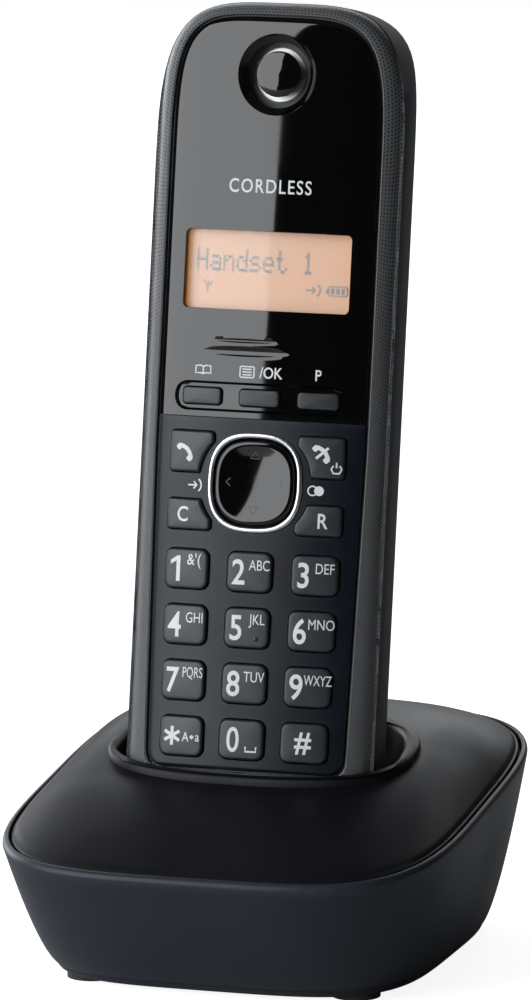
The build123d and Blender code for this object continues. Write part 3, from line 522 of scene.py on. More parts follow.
def dust_group():
    """Faint dust on surfaces that face up."""
    group = new_group("Settled Dust", [("Amount", "NodeSocketFloat", 0.3)],
                      [("Mask", "NodeSocketFloat")])
    start, end = add(group, "NodeGroupInput"), add(group, "NodeGroupOutput")
    form = add(group, "ShaderNodeNewGeometry")
    split = add(group, "ShaderNodeSeparateXYZ")
    group.links.new(form.outputs["Normal"], split.inputs[0])
    noise = add(group, "ShaderNodeTexNoise")
    noise.inputs["Scale"].default_value = 1400
    noise.inputs["Detail"].default_value = 3
    where = add(group, "ShaderNodeTexCoord")
    group.links.new(where.outputs["Object"], noise.inputs["Vector"])
    up = ramp(group, split.outputs["Z"], 0.55, 1.0)
    speck = ramp(group, noise.outputs["Fac"], 0.56, 0.72)
    both = math_node(group, "MULTIPLY", up, speck)
    group.links.new(math_node(group, "MULTIPLY", both, start.outputs["Amount"]), end.inputs["Mask"])
    return group


def dot_group():
    """Staggered round dots over a flat place vector in millimetres, fading past a reach."""
    group = new_group("Staggered Dots",
                      [("Place", "NodeSocketVector", None), ("Pitch", "NodeSocketFloat", 0.78),
                       ("Row", "NodeSocketFloat", 0.74), ("Size", "NodeSocketFloat", 0.21)],
                      [("Dot", "NodeSocketFloat")])
    start, end = add(group, "NodeGroupInput"), add(group, "NodeGroupOutput")
    split = add(group, "ShaderNodeSeparateXYZ")
    group.links.new(start.outputs["Place"], split.inputs[0])
    row = math_node(group, "DIVIDE", split.outputs["Y"], start.outputs["Row"])
    row_number = math_node(group, "FLOOR", row)
    odd = math_node(group, "MODULO", row_number, 2.0)
    shift = math_node(group, "MULTIPLY", math_node(group, "ABSOLUTE", odd), 0.5)
    along = math_node(group, "DIVIDE", split.outputs["X"], start.outputs["Pitch"])
    column = math_node(group, "ADD", along, shift)
    dx = math_node(group, "MULTIPLY", math_node(group, "SUBTRACT", math_node(group, "FRACT", column), 0.5),
                   start.outputs["Pitch"])
    dy = math_node(group, "MULTIPLY", math_node(group, "SUBTRACT", math_node(group, "FRACT", row), 0.5),
                   start.outputs["Row"])
    far = math_node(group, "SQRT", math_node(group, "ADD", math_node(group, "MULTIPLY", dx, dx),
                                             math_node(group, "MULTIPLY", dy, dy)))
    share = math_node(group, "DIVIDE", far, start.outputs["Size"])
    group.links.new(ramp(group, share, 0.7, 1.25, 1.0, 0.0), end.inputs["Dot"])
    return group


GROUPS = {}


def group_node(tree, name, **values):
    """A node of a shared group, with its own values."""
    makers = {"Moulded Grain": grain_group, "Edge Polish": wear_group,
              "Settled Dust": dust_group, "Staggered Dots": dot_group}
    if name not in GROUPS:
        GROUPS[name] = makers[name]()
    node = add(tree, "ShaderNodeGroup")
    node.node_tree = GROUPS[name]
    for label, value in values.items():
        node.inputs[label].default_value = value
    return node


# name: colour, polished colour, roughness, roughness spread, grain scale, grain depth in mm, dust
PLASTICS = {
    "cover_plastic": ((0.0040, 0.0042, 0.0062), (0.015, 0.016, 0.020), 0.42, 0.08, 2600, 0.010, 0.05),
    "shell_plastic": ((0.0200, 0.0250, 0.0340), (0.045, 0.052, 0.065), 0.40, 0.06, 2200, 0.012, 0.05),
    "case_plastic": ((0.008, 0.0085, 0.0105), (0.03, 0.031, 0.036), 0.34, 0.06, 2600, 0.008, 0.05),
    "keypad_plastic": ((0.0050, 0.0068, 0.0125), (0.018, 0.022, 0.032), 0.31, 0.05, 3000, 0.006, 0.05),
    "key_plastic": ((0.0075, 0.0085, 0.0120), (0.03, 0.033, 0.040), 0.33, 0.06, 3000, 0.006, 0.05),
    "gloss_plastic": ((0.0012, 0.0012, 0.0014), (0.004, 0.004, 0.0045), 0.03, 0.015, 900, 0.0004, 0.03),
    "jack_plastic": ((0.012, 0.012, 0.012), (0.03, 0.03, 0.03), 0.38, 0.06, 2200, 0.006, 0.1),
    "legend_ink": ((0.72, 0.73, 0.74), (0.76, 0.76, 0.76), 0.5, 0.06, 3000, 0.004, 0.0),
    "dim_ink": ((0.05, 0.052, 0.056), (0.07, 0.07, 0.07), 0.3, 0.05, 3000, 0.004, 0.0),
    "rubber": ((0.02, 0.02, 0.02), (0.04, 0.04, 0.04), 0.8, 0.06, 1800, 0.02, 0.3),
    "gasket": ((0.07, 0.07, 0.072), (0.1, 0.1, 0.1), 0.7, 0.06, 1800, 0.015, 0.2),
    "board": ((0.012, 0.09, 0.03), (0.03, 0.16, 0.06), 0.32, 0.08, 600, 0.01, 0.1),
    "carbon": ((0.012, 0.012, 0.012), (0.03, 0.03, 0.03), 0.6, 0.06, 2200, 0.008, 0.0),
    "sleeve": ((0.10, 0.16, 0.30), (0.4, 0.42, 0.5), 0.25, 0.05, 700, 0.006, 0.0),
    "milky": ((0.75, 0.73, 0.66), (0.8, 0.8, 0.75), 0.45, 0.05, 900, 0.006, 0.0),
    "steel": ((0.55, 0.55, 0.54), (0.8, 0.8, 0.8), 0.32, 0.10, 1800, 0.006, 0.0),
    "gold": ((0.72, 0.50, 0.18), (0.85, 0.65, 0.3), 0.25, 0.08, 1800, 0.004, 0.0),
    "silver": ((0.60, 0.61, 0.62), (0.8, 0.8, 0.8), 0.24, 0.05, 2600, 0.003, 0.0),
}
METALS = ("steel", "gold", "silver")
# how strongly the matte plastics reflect, where 0.5 is usual
SHINE = {"cover_plastic": 0.26, "shell_plastic": 0.32, "case_plastic": 0.36, "keypad_plastic": 0.29,
         "key_plastic": 0.18}


def finish(name):
    """The material of that name, made the first time that it is asked for."""
    found = bpy.data.materials.get(name)
    if found:
        return found
    makers = {"display_amber": amber_material, "clear_window": window_material,
              "display_dots": dots_material, "dotted_case_painted_sheen": dotted_material}
    if name in makers:
        return makers[name]()
    return plastic(name, *PLASTICS[name])


def blank(name):
    """A new material with its node tree and main shader."""
    material = bpy.data.materials.new(name)
    material.use_nodes = True
    tree = material.node_tree
    shader = next(node for node in tree.nodes if node.type == "BSDF_PRINCIPLED")
    return material, tree, shader


def blended(tree, low, high, share):
    """A colour between two colours or sockets."""
    node = add(tree, "ShaderNodeMix", data_type="RGBA")
    tree.links.new(share, node.inputs["Factor"])
    for socket, value in ((node.inputs[6], low), (node.inputs[7], high)):
        if hasattr(value, "is_output"):
            tree.links.new(value, socket)
        else:
            socket.default_value = (*value, 1.0)
    return node.outputs[2]


def plastic(name, colour, worn, roughness, spread, scale, depth, dust):
    """A moulded or plated finish with grain, polished corners, uneven gloss and faint dust."""
    material, tree, shader = blank(name)
    grain = group_node(tree, "Moulded Grain", Scale=float(scale))
    wear = group_node(tree, "Edge Polish", Reach=0.08)
    base = blended(tree, colour, worn, wear.outputs["Mask"])
    slow = math_node(tree, "MULTIPLY", grain.outputs["Variation"], 0.35)
    shade = tuple(min(1.0, channel * 1.25) for channel in colour)
    base = blended(tree, base, shade, slow)
    if dust:
        specks = group_node(tree, "Settled Dust", Amount=float(dust))
        base = blended(tree, base, (0.16, 0.155, 0.15), specks.outputs["Mask"])
    tree.links.new(base, shader.inputs["Base Color"])
    rough = ramp(tree, grain.outputs["Variation"], 0.0, 1.0, roughness, roughness + spread)
    tree.links.new(rough, shader.inputs["Roughness"])
    if name in METALS:
        shader.inputs["Metallic"].default_value = 1.0
    shader.inputs["Specular IOR Level"].default_value = SHINE.get(name, 0.5)
    bump = add(tree, "ShaderNodeBump")
    bump.inputs["Strength"].default_value = 0.6
    bump.inputs["Distance"].default_value = depth * MM
    tree.links.new(grain.outputs["Height"], bump.inputs["Height"])
    tree.links.new(bump.outputs["Normal"], shader.inputs["Normal"])
    return material


def dotted_material():
    """Case plastic whose sides carry a pattern of small raised dots, on a ground lightened with painted
    sheen.
    """
    material, tree, shader = blank("dotted_case_painted_sheen")
    where = add(tree, "ShaderNodeAttribute", attribute_name="texture_place")
    dots = group_node(tree, "Staggered Dots")
    tree.links.new(where.outputs["Vector"], dots.inputs["Place"])
    grain = group_node(tree, "Moulded Grain", Scale=2600.0)
    wear = group_node(tree, "Edge Polish", Reach=0.08)
    # painted sheen: the light grey ground (0.13) stands for the softbox's sheen on the dark band; the dark
    # dots stay near the plastic's own colour
    base = blended(tree, (0.130, 0.134, 0.138), (0.014, 0.0145, 0.0155), dots.outputs["Dot"])
    worn = math_node(tree, "MULTIPLY", wear.outputs["Mask"], 0.5)
    base = blended(tree, base, (0.07, 0.072, 0.076), worn)
    tree.links.new(base, shader.inputs["Base Color"])
    rough = ramp(tree, grain.outputs["Variation"], 0.0, 1.0, 0.40, 0.48)
    tree.links.new(rough, shader.inputs["Roughness"])
    shader.inputs["Specular IOR Level"].default_value = 0.35
    height = math_node(tree, "ADD", math_node(tree, "MULTIPLY", grain.outputs["Height"], 0.15),
                       math_node(tree, "MULTIPLY", dots.outputs["Dot"], -1.0))
    bump = add(tree, "ShaderNodeBump")
    bump.inputs["Strength"].default_value = 0.7
    bump.inputs["Distance"].default_value = 0.06 * MM
    tree.links.new(height, bump.inputs["Height"])
    tree.links.new(bump.outputs["Normal"], shader.inputs["Normal"])
    return material


def amber_material():
    """The lit, slightly mottled ground of the display."""
    material, tree, shader = blank("display_amber")
    grain = group_node(tree, "Moulded Grain", Scale=3500.0)
    base = blended(tree, (0.66, 0.29, 0.065), (0.62, 0.27, 0.057), grain.outputs["Height"])
    tree.links.new(base, shader.inputs["Base Color"])
    tree.links.new(base, shader.inputs["Emission Color"])
    shader.inputs["Emission Strength"].default_value = 0.62
    shader.inputs["Roughness"].default_value = 0.5
    shader.inputs["Specular IOR Level"].default_value = 0.12
    return material


def dots_material():
    """The display's dark dots."""
    material, tree, shader = blank("display_dots")
    grain = group_node(tree, "Moulded Grain", Scale=4000.0)
    base = blended(tree, (0.006, 0.004, 0.006), (0.010, 0.006, 0.008), grain.outputs["Height"])
    tree.links.new(base, shader.inputs["Base Color"])
    shader.inputs["Roughness"].default_value = 0.9
    shader.inputs["Specular IOR Level"].default_value = 0.0
    return material


def window_material():
    """Thin clear window: almost wholly see-through, with a faint shine."""
    material, tree, shader = blank("clear_window")
    grain = group_node(tree, "Moulded Grain", Scale=900.0)
    shader.inputs["Base Color"].default_value = (0.02, 0.02, 0.02, 1.0)
    rough = ramp(tree, grain.outputs["Variation"], 0.0, 1.0, 0.03, 0.06)
    tree.links.new(rough, shader.inputs["Roughness"])
    shader.inputs["Alpha"].default_value = 0.03
    return material


# --- settings -----------------------------------------------------------------------------------
class PhoneHandsetSettings(bpy.types.PropertyGroup):
    key_width: bpy.props.FloatProperty(name="Key width", description="Width of a number key in mm",
                                       default=8.6, min=4.0, max=12.0)
    key_height: bpy.props.FloatProperty(name="Key height", description="Height of a number key in mm",
                                        default=7.3, min=4.0, max=9.0)
    key_rise: bpy.props.FloatProperty(name="Key rise", description="How far a key stands proud in mm",
                                      default=0.9, min=0.2, max=2.0)
    key_round: bpy.props.FloatProperty(name="Key edge", description="Rounding of a key's edge in mm",
                                       default=0.55, min=0.1, max=1.0)
    display_text: bpy.props.StringProperty(name="Display text", description="Shown on the display",
                                           default="Handset 1")


class PhoneBaseSettings(bpy.types.PropertyGroup):
    width: bpy.props.FloatProperty(name="Width", description="Width of the base in mm",
                                   default=86.0, min=60.0, max=120.0)
    depth: bpy.props.FloatProperty(name="Depth", description="Depth of the base in mm",
                                   default=103.6, min=80.0, max=140.0)
    rim_height: bpy.props.FloatProperty(name="Rim height", description="Height of the rim in mm",
                                        default=31.3, min=15.0, max=50.0)
    lip_height: bpy.props.FloatProperty(name="Lip height", description="Height of the cradle's lip in mm",
                                        default=40.6, min=20.0, max=60.0)


class PhoneStageSettings(bpy.types.PropertyGroup):
    azimuth: bpy.props.FloatProperty(name="Azimuth", description="Camera direction from the front",
                                     default=math.radians(17.19), subtype="ANGLE")
    elevation: bpy.props.FloatProperty(name="Elevation", description="Camera height angle",
                                       default=math.radians(10.47), subtype="ANGLE")
    distance: bpy.props.FloatProperty(name="Distance", description="Camera to the phone",
                                      default=1.547, unit="LENGTH", min=0.3)
    target: bpy.props.FloatVectorProperty(name="Target", description="Point that the camera looks at",
                                          default=(-0.00036, -0.00065, 0.0859), subtype="XYZ")
    lens: bpy.props.FloatProperty(name="Lens", description="Focal length in mm",
                                  default=300.8, min=20.0)
    floor_colour: bpy.props.FloatVectorProperty(name="Floor colour", description="Colour of the floor",
                                                default=(0.55, 0.55, 0.55), subtype="COLOR", size=3)


# --- handset ------------------------------------------------------------------------------------
def face_height(u, v):
    """Height of the case's front over the handset's frame."""
    return -front_depth(u, v)


def lerp(a, b, share):
    return tuple(x + (y - x) * share for x, y in zip(a, b))


def band_places(outline, profile):
    """Distance round the outline and across the band, in mm, for each point of each ring."""
    along = [0.0]
    for a, b in zip(outline, outline[1:]):
        along.append(along[-1] + math.dist(a, b))
    places = []
    across = [0.0] * len(outline)
    for i, ring in enumerate(profile):
        if i:
            across = [d + math.dist(p, q) for d, p, q in zip(across, profile[i - 1], ring)]
        places.append(list(zip(along, across)))
    return places


def front_case():
    """The band of case between the fascia and the seam, with its wall behind."""
    inner, step, outer = fascia_outline(-0.1), fascia_outline(-0.5), body_outline()
    rings = [[(u, v, -front_depth(u, v) - PANEL_THICKNESS) for u, v in inner],
             [(u, v, -front_depth(u, v) - PANEL_THICKNESS) for u, v in step],
             [(u, v, -front_depth(u, v) - 0.25) for u, v in step]]
    steps = 14
    crown = fascia_outline(-0.75)
    for i in range(steps + 1):
        share = math.sin(math.pi / 2 * i / steps)
        ring = []
        for a, b in zip(crown, outer):
            u, v = lerp(a, b, share)
            ring.append((u, v, -min(front_depth(u, v), SEAM_DEPTH)))
        rings.append(ring)
    rings.append([(u, v, -SEAM_DEPTH) for u, v in outer])
    back = body_outline(CASE_WALL)
    rings.append([(u, v, -SEAM_DEPTH) for u, v in back])
    rings.append([(u, v, -SEAM_DEPTH) for u, v in fascia_outline(1.5)])
    rings.append([(u, v, -front_depth(u, v) - PANEL_THICKNESS) for u, v in fascia_outline(1.5)])
    shape = Shape()
    shape.rings(rings, closed=True, places=band_places(outer, rings))
    return shape


def spine_point(point):
    """The point of the handset's middle line that a point of its outline closes towards."""
    return (0.0, min(max(point[1], V_LOW + 12), V_HIGH - 26))


def rear_case():
    """The rear shell: outer skin, seam edge and inner skin."""
    outer, inner = body_outline(), body_outline(CASE_WALL)
    rings = [[(u, v, -SEAM_DEPTH - 0.12) for u, v in inner],
             [(u, v, -SEAM_DEPTH - 0.12) for u, v in body_outline(0.12)],
             [(u, v, -SEAM_DEPTH - 0.3) for u, v in outer]]
    steps = 26
    for i in range(1, steps + 1):
        share = math.cos(math.pi / 2 * i / steps)
        ring = []
        for point in outer:
            u, v = lerp(spine_point(point), point, share)
            ring.append((u, v, -back_depth(u, v)))
        rings.append(ring)
    for i in range(steps, -1, -2):
        share = math.cos(math.pi / 2 * i / steps)
        ring = []
        for point in inner:
            u, v = lerp(spine_point(point), point, share)
            ring.append((u, v, -back_depth(u, v, CASE_WALL)))
        rings.append(ring)
    shape = Shape()
    shape.rings(rings, closed=True, places=band_places(outer, rings))
    return shape


def edge_columns():
    """Positions across a plate, closer together near its edges."""
    half = [1.0, 0.975, 0.95, 0.92, 0.88]
    half += [0.84 - 0.84 * i / 18 for i in range(18)]
    return [-t for t in half] + [0.0] + half[::-1]


def fascia_rim(u, v):
    """How far the fascia's edge is rounded down."""
    away = fascia_half(v) - abs(u)
    if v > FASCIA_CAP_START:
        up = (v - FASCIA_CAP_START) / (FASCIA_HIGH - FASCIA_CAP_START)
        round_here = power((abs(u) / FASCIA_HALF) ** FASCIA_SQUARENESS + up ** FASCIA_SQUARENESS,
                           1 / FASCIA_SQUARENESS)
        away = min((1 - round_here) * FASCIA_HALF, away)
    away = min(away, v - FASCIA_LOW)
    return 0.32 * (1 - min(max(away, 0.0), 0.6) / 0.6) ** 1.5


def fascia_height(u, v):
    """Height of the front panels' outer face."""
    return -front_depth(u, v) - fascia_rim(u, v)


def fascia_back(u, v):
    """Height of the front panels' inner face."""
    return -front_depth(u, v) - PANEL_THICKNESS


def upper_panel():
    """The glossy panel before its openings are cut."""
    rows = [PANEL_SPLIT + PANEL_JOINT / 2 + i * 0.9 for i in range(72)]
    rows += [FASCIA_HIGH - (FASCIA_HIGH - rows[-1]) * ((28 - i) / 28) ** 2 for i in range(1, 28)]
    rows.append(FASCIA_HIGH - 0.004)
    shape = Shape()
    shape.plate(rows, edge_columns(), fascia_half, fascia_height, fascia_back)
    return shape


def keypad_panel():
    """The matte panel before its openings are cut."""
    first = [FASCIA_LOW + 0.004 + 3.0 * (i / 14) ** 2 for i in range(15)]
    last = PANEL_SPLIT - PANEL_JOINT / 2
    rows = first + [first[-1] + (last - first[-1]) * i / 62 for i in range(1, 63)]
    shape = Shape()
    shape.plate(rows, edge_columns(), fascia_half, fascia_height, fascia_back)
    return shape


def pocket(place, floor):
    """A cutter for a rounded slot whose floor runs parallel to the face, with sloped sides."""
    mid_u, mid_v, width, height, corner = place
    slope, above = 0.55, 0.25
    rows = [mid_v - height / 2 * math.cos(math.pi * i / 24) for i in range(25)]
    rows[0] += 0.004
    rows[-1] -= 0.004

    def half(row):
        away = height / 2 - abs(row - mid_v)
        if away >= corner:
            return width / 2
        return width / 2 - corner + math.sqrt(corner ** 2 - (corner - away) ** 2)

    def under(u, v):
        along = max(0.0, abs(u - mid_u) - (width / 2 - corner))
        across = max(0.0, abs(v - mid_v) - (height / 2 - corner))
        inside = max(0.0, corner - math.hypot(along, across))
        return face_height(u, v) + above - (floor + above) * min(1.0, inside / slope)

    shape = Shape()
    shape.plate(rows, [-1 + i / 20 for i in range(41)], half, lambda u, v: 4.0, under, mid_u)
    return shape


def dimple(mid_u, mid_v, half_u, half_v, depth):
    """A cutter for a shallow lens-shaped hollow, whose sides cross the face at a clear angle."""
    reach = math.sqrt(2.0)
    outline = [(half_u * reach * math.cos(2 * math.pi * i / 96),
                half_v * reach * math.sin(2 * math.pi * i / 96)) for i in range(96)]
    levels = [(1.0, 9.0)]
    for i in range(12):
        share = 1 - i / 12
        levels.append((share, 1 - 2 * (1 - share ** 2)))
    rings = []
    for share, level in levels:
        ring = []
        for x, y in outline:
            u, v = mid_u + x * share, mid_v + y * share
            ring.append((u, v, face_height(u, v) + depth * level))
        rings.append(ring)
    shape = Shape()
    shape.rings(rings)
    return shape


# --- keys ---------------------------------------------------------------------------------------
KEY_PITCH_V = 10.3
KEY_PITCH_TOP = 12.35
KEY_PITCH_BOTTOM = 11.8
SIDE_KEYS = (("talk_key", -1, 48.8, 56.4), ("off_key", 1, 48.8, 56.4),
             ("clear_key", -1, 38.2, 43.8), ("recall_key", 1, 38.2, 43.8))    # side, low, high
SOFT_KEYS = ("left", "middle", "right")
SOFT_PITCH, SOFT_V, SOFT_WIDTH, SOFT_HEIGHT = 11.2, 62.95, 7.7, 3.0
KEY_FOOT = 1.9               # depth of a cap below the face
KEY_ROWS = (("1", "2", "3"), ("4", "5", "6"), ("7", "8", "9"), ("star", "0", "hash"))
LETTERS = {"1": "&'(", "2": "ABC", "3": "DEF", "4": "GHI", "5": "JKL", "6": "MNO",
           "7": "PQRS", "8": "TUV", "9": "WXYZ"}


def number_key_places():
    """Name and middle of each number key."""
    for row, names in enumerate(KEY_ROWS):
        pitch = KEY_PITCH_TOP + (KEY_PITCH_BOTTOM - KEY_PITCH_TOP) * row / 3
        for column, name in enumerate(names):
            yield name, (column - 1) * pitch, (3 - row) * KEY_PITCH_V


def side_key_outline(side, low, high):
    """A key beside the navigator, its inner side cut to a curve round it."""
    outer, inner, radius = 16.8, 8.1, 10.9
    corner = 0.75
    above = low > RING_V
    reach = math.degrees(math.acos(inner / radius))
    near = low if above else high
    tip = math.degrees(math.asin((near - RING_V) / radius))
    sign = 1 if above else -1
    curve = arc(0, RING_V, radius, sign * reach, tip, 10)
    far = high if above else low
    points = arc(inner + corner, far - sign * corner, corner, 180, 180 - sign * 90, 5)[::-1]
    points += curve
    points += arc(outer - corner, near + sign * corner, corner, -sign * 90, 0, 5)
    points += arc(outer - corner, far - sign * corner, corner, 0, sign * 90, 5)
    if side < 0:
        points = [(-u, v) for u, v in points]
    return points


def middle_of(outline):
    """The middle of the box round an outline."""
    us, vs = zip(*outline)
    return (min(us) + max(us)) / 2, (min(vs) + max(vs)) / 2


def key_cap(outline, rise, edge, foot, crown=0.12):
    """A key's cap with rounded edges and a slightly crowned top, from foot below the face."""
    shape = Shape()
    mid_u, mid_v = middle_of(outline)

    def toward(point, inset):
        du, dv = point[0] - mid_u, point[1] - mid_v
        far = math.hypot(du, dv)
        return (mid_u + du * (1 - inset / far), mid_v + dv * (1 - inset / far))

    rings = [[(u, v, face_height(u, v) - foot) for u, v in outline]]
    for i in range(7):
        angle = math.pi / 2 * i / 6
        inset, drop = edge * (1 - math.cos(angle)), edge * (1 - math.sin(angle))
        ring = []
        for point in outline:
            u, v = toward(point, inset)
            ring.append((u, v, face_height(u, v) + rise - drop))
        rings.append(ring)
    top = [toward(p, edge) for p in outline]
    for share in (0.9, 0.75, 0.5, 0.25, 0.03):
        ring = []
        for point in top:
            u, v = lerp((mid_u, mid_v), point, share)
            ring.append((u, v, face_height(u, v) + rise + crown * (1 - share ** 2)))
        rings.append(ring)
    shape.rings(rings)
    return shape


def key_surface(outline, rise, crown=0.12):
    """The height of a key's top, for its legend."""
    mid_u, mid_v = middle_of(outline)
    half_u = max(u for u, v in outline) - mid_u
    half_v = max(v for u, v in outline) - mid_v

    def height(u, v):
        share = min(1.0, max(abs(u - mid_u) / half_u, abs(v - mid_v) / half_v))
        return face_height(u, v) + rise + crown * (1 - share ** 2) + 0.02
    return height


def handset_sign(shape, u, v, surface, crossed=False):
    """A small receiver: two ear pieces joined by a bowed grip, with or without a bar across."""
    bow = [(-1.75 + 3.5 * i / 12, 0.55 * math.sin(math.pi * i / 12)) for i in range(13)]
    turn = -45
    ink(shape, stroke(bow, 0.85), u, v, surface, turn=turn, scale=0.9)
    if crossed:
        ink(shape, stroke([(-1.5, 0.0), (1.5, 0.0)], 0.5), u, v, surface, turn=42, lift=0.004)
    for side in (-1, 1):
        pad = rounded_box(side * 1.65, -0.35, 1.15, 1.2, 0.3, 3)
        ink(shape, filled(pad), u, v, surface, turn=turn, scale=0.9)


# the figure one is drawn from listed points, with a plain flag and no foot
DIGIT_ONE = ((0.0, -2.35), (0.75, -2.35), (0.75, 2.35), (0.15, 2.35),
             (-1.2, 1.5), (-1.2, 0.75), (0.0, 1.4))


def key_legend(shape, name, u, v, surface):
    """The digit or sign of a number key, and its letters."""
    if name in LETTERS:
        if name == "1":
            ink(shape, filled(DIGIT_ONE), u - 1.9, v, surface)
            ink(shape, lettering(LETTERS[name], 2.9, 0.02, 0.85), u + 1.6, v + 1.5, surface)
        else:
            ink(shape, lettering(name, 6.5, 0.09, 0.84), u - 1.95, v, surface)
            width = {3: 0.76, 4: 0.62}[len(LETTERS[name])]
            ink(shape, lettering(LETTERS[name], 2.75, 0.0, width), u + 2.0, v + 1.35, surface)
    elif name == "0":
        ink(shape, lettering("0", 6.5, 0.06, 0.80), u - 1.5, v, surface)
        ink(shape, stroke([(-1.0, 0.5), (-1.0, -0.4), (1.0, -0.4), (1.0, 0.5)], 0.34),
            u + 2.0, v - 1.7, surface)
    elif name == "hash":
        ink(shape, lettering("#", 5.6, 0.10, 0.9), u, v, surface)
    elif name == "star":
        bar = stroke([(-1.75, 0.0), (1.75, 0.0)], 0.62)
        for i in range(3):
            ink(shape, bar, u - 1.7, v, surface, turn=90 + 60 * i, lift=0.004 * i)
        ink(shape, lettering("A", 2.5, 0.02, 0.8), u + 1.0, v - 0.1, surface)
        ink(shape, filled([(-0.45, 0), (0, -0.45), (0.45, 0), (0, 0.45)]), u + 2.25, v - 0.1, surface)
        ink(shape, lettering("a", 2.5, 0.02, 0.8), u + 3.35, v - 0.25, surface)


# --- display ------------------------------------------------------------------------------------
DOT_LETTERS = {
    "H": "10001 10001 10001 11111 10001 10001 10001",
    "a": "00000 00000 01110 00001 01111 10001 01111",
    "n": "00000 00000 10110 11001 10001 10001 10001",
    "d": "00001 00001 01101 10011 10001 10001 01111",
    "s": "00000 00000 01110 10000 01110 00001 11110",
    "e": "00000 00000 01110 10001 11111 10000 01110",
    "t": "01000 01000 11100 01000 01000 01001 00110",
    "1": "00100 01100 00100 00100 00100 00100 01110",
}


def display_shape(text, surface_w):
    """The display's plate, the dot letters of its text and its signs."""
    shape = Shape()
    mid_u, mid_v, width, height, _ = WINDOW
    shape.prism(rounded_box(mid_u, mid_v, width + 1.6, height + 3.0, 0.3), surface_w - 1.1, surface_w)

    def flat(u, v):
        return surface_w + 0.06

    dot_u, dot_v, first = 0.425, 0.60, -14.0
    dot = filled(rounded_box(0, 0, dot_u * 0.9, dot_v * 0.9, 0.03, 1))
    for place, letter in enumerate(text):
        for i, row in enumerate(DOT_LETTERS.get(letter, "").split()):
            for j, lit in enumerate(row):
                if lit == "1":
                    ink(shape, dot, first + (place * 6 + j) * dot_u, 90.0 - i * dot_v, flat)
    aerial, arrow, battery = (-11.9, 83.35), (8.2, 83.3), (13.2, 83.3)
    for line in ([(-0.95, 0.95), (0, -0.1), (0.95, 0.95)], [(0, 0.95), (0, -1.05)]):
        ink(shape, stroke(line, 0.24), *aerial, flat)
    for line in ([(-1.2, 0), (0.6, 0)], [(0.0, 0.6), (0.6, 0), (0.0, -0.6)]):
        ink(shape, stroke(line, 0.26), *arrow, flat)
    bow = [(0.9 * math.cos(a), 1.1 * math.sin(a)) for a in [-1.2 + 0.3 * i for i in range(9)]]
    ink(shape, stroke(bow, 0.26), 8.9, 83.3, flat)
    ink(shape, stroke(rounded_box(0, 0, 3.6, 1.7, 0.2, 1), 0.2, closed=True), *battery, flat)
    ink(shape, filled(rounded_box(-2.05, 0, 0.4, 0.9, 0.1, 1)), *battery, flat)
    for i in (-1, 0, 1):
        ink(shape, filled(rounded_box(i * 1.0, 0, 0.62, 1.05, 0.08, 1)), *battery, flat)
    return shape


# --- base ---------------------------------------------------------------------------------------
BASE_COUNT = 256
RIM_SLOPE = 0.12
RIM_SQUARENESS = 3.9
FOOT_WIDTH, FOOT_DEPTH, FOOT_SHIFT = 71.0, 81.2, 2.5
WALL_BULGE = 0.7
SHELL_FLOOR = 1.0
RIM_LIP = 1.05
RIM_GROOVE = 0.5
RIM_ROUND = 1.2
LIP_WIDTH, LIP_DEPTH, LIP_SHIFT, LIP_SLOPE = 58.6, 35.0, -2.6, 0.17
LIP_SQUARENESS = 2.6
LIP_ROUND = 1.2
BASE_WALL = 2.2
COVER_WALL = 2.0
COVER_ROUND = 0.45
DOME_CROWN = 1.9
WELL_CLEARANCE, WELL_FLARE, WELL_WALL = 0.6, 2.2, 1.6
SHELL_ROUND = 1.2


def directions():
    """Angles round the base, the same for every ring, so that rings join without twist."""
    spread = RIM_SQUARENESS * 0.8
    angles = []
    for i in range(BASE_COUNT):
        flat = 2 * math.pi * i / BASE_COUNT
        c, s = math.cos(flat), math.sin(flat)
        angles.append(math.atan2(math.copysign(abs(s) ** (spread / 2), s),
                                 math.copysign(abs(c) ** (spread / 2), c)))
    return angles


ANGLES = directions()


def base_ring(half_x, half_y, shift, n, z, slope):
    """A superellipse round the base, rising towards the back by its slope."""
    ring = []
    for angle in ANGLES:
        c, s = math.cos(angle), math.sin(angle)
        x = math.copysign(abs(c) ** (2 / n), c) * half_x
        y = math.copysign(abs(s) ** (2 / n), s) * half_y + shift
        ring.append((x, y, z + slope * y))
    return ring


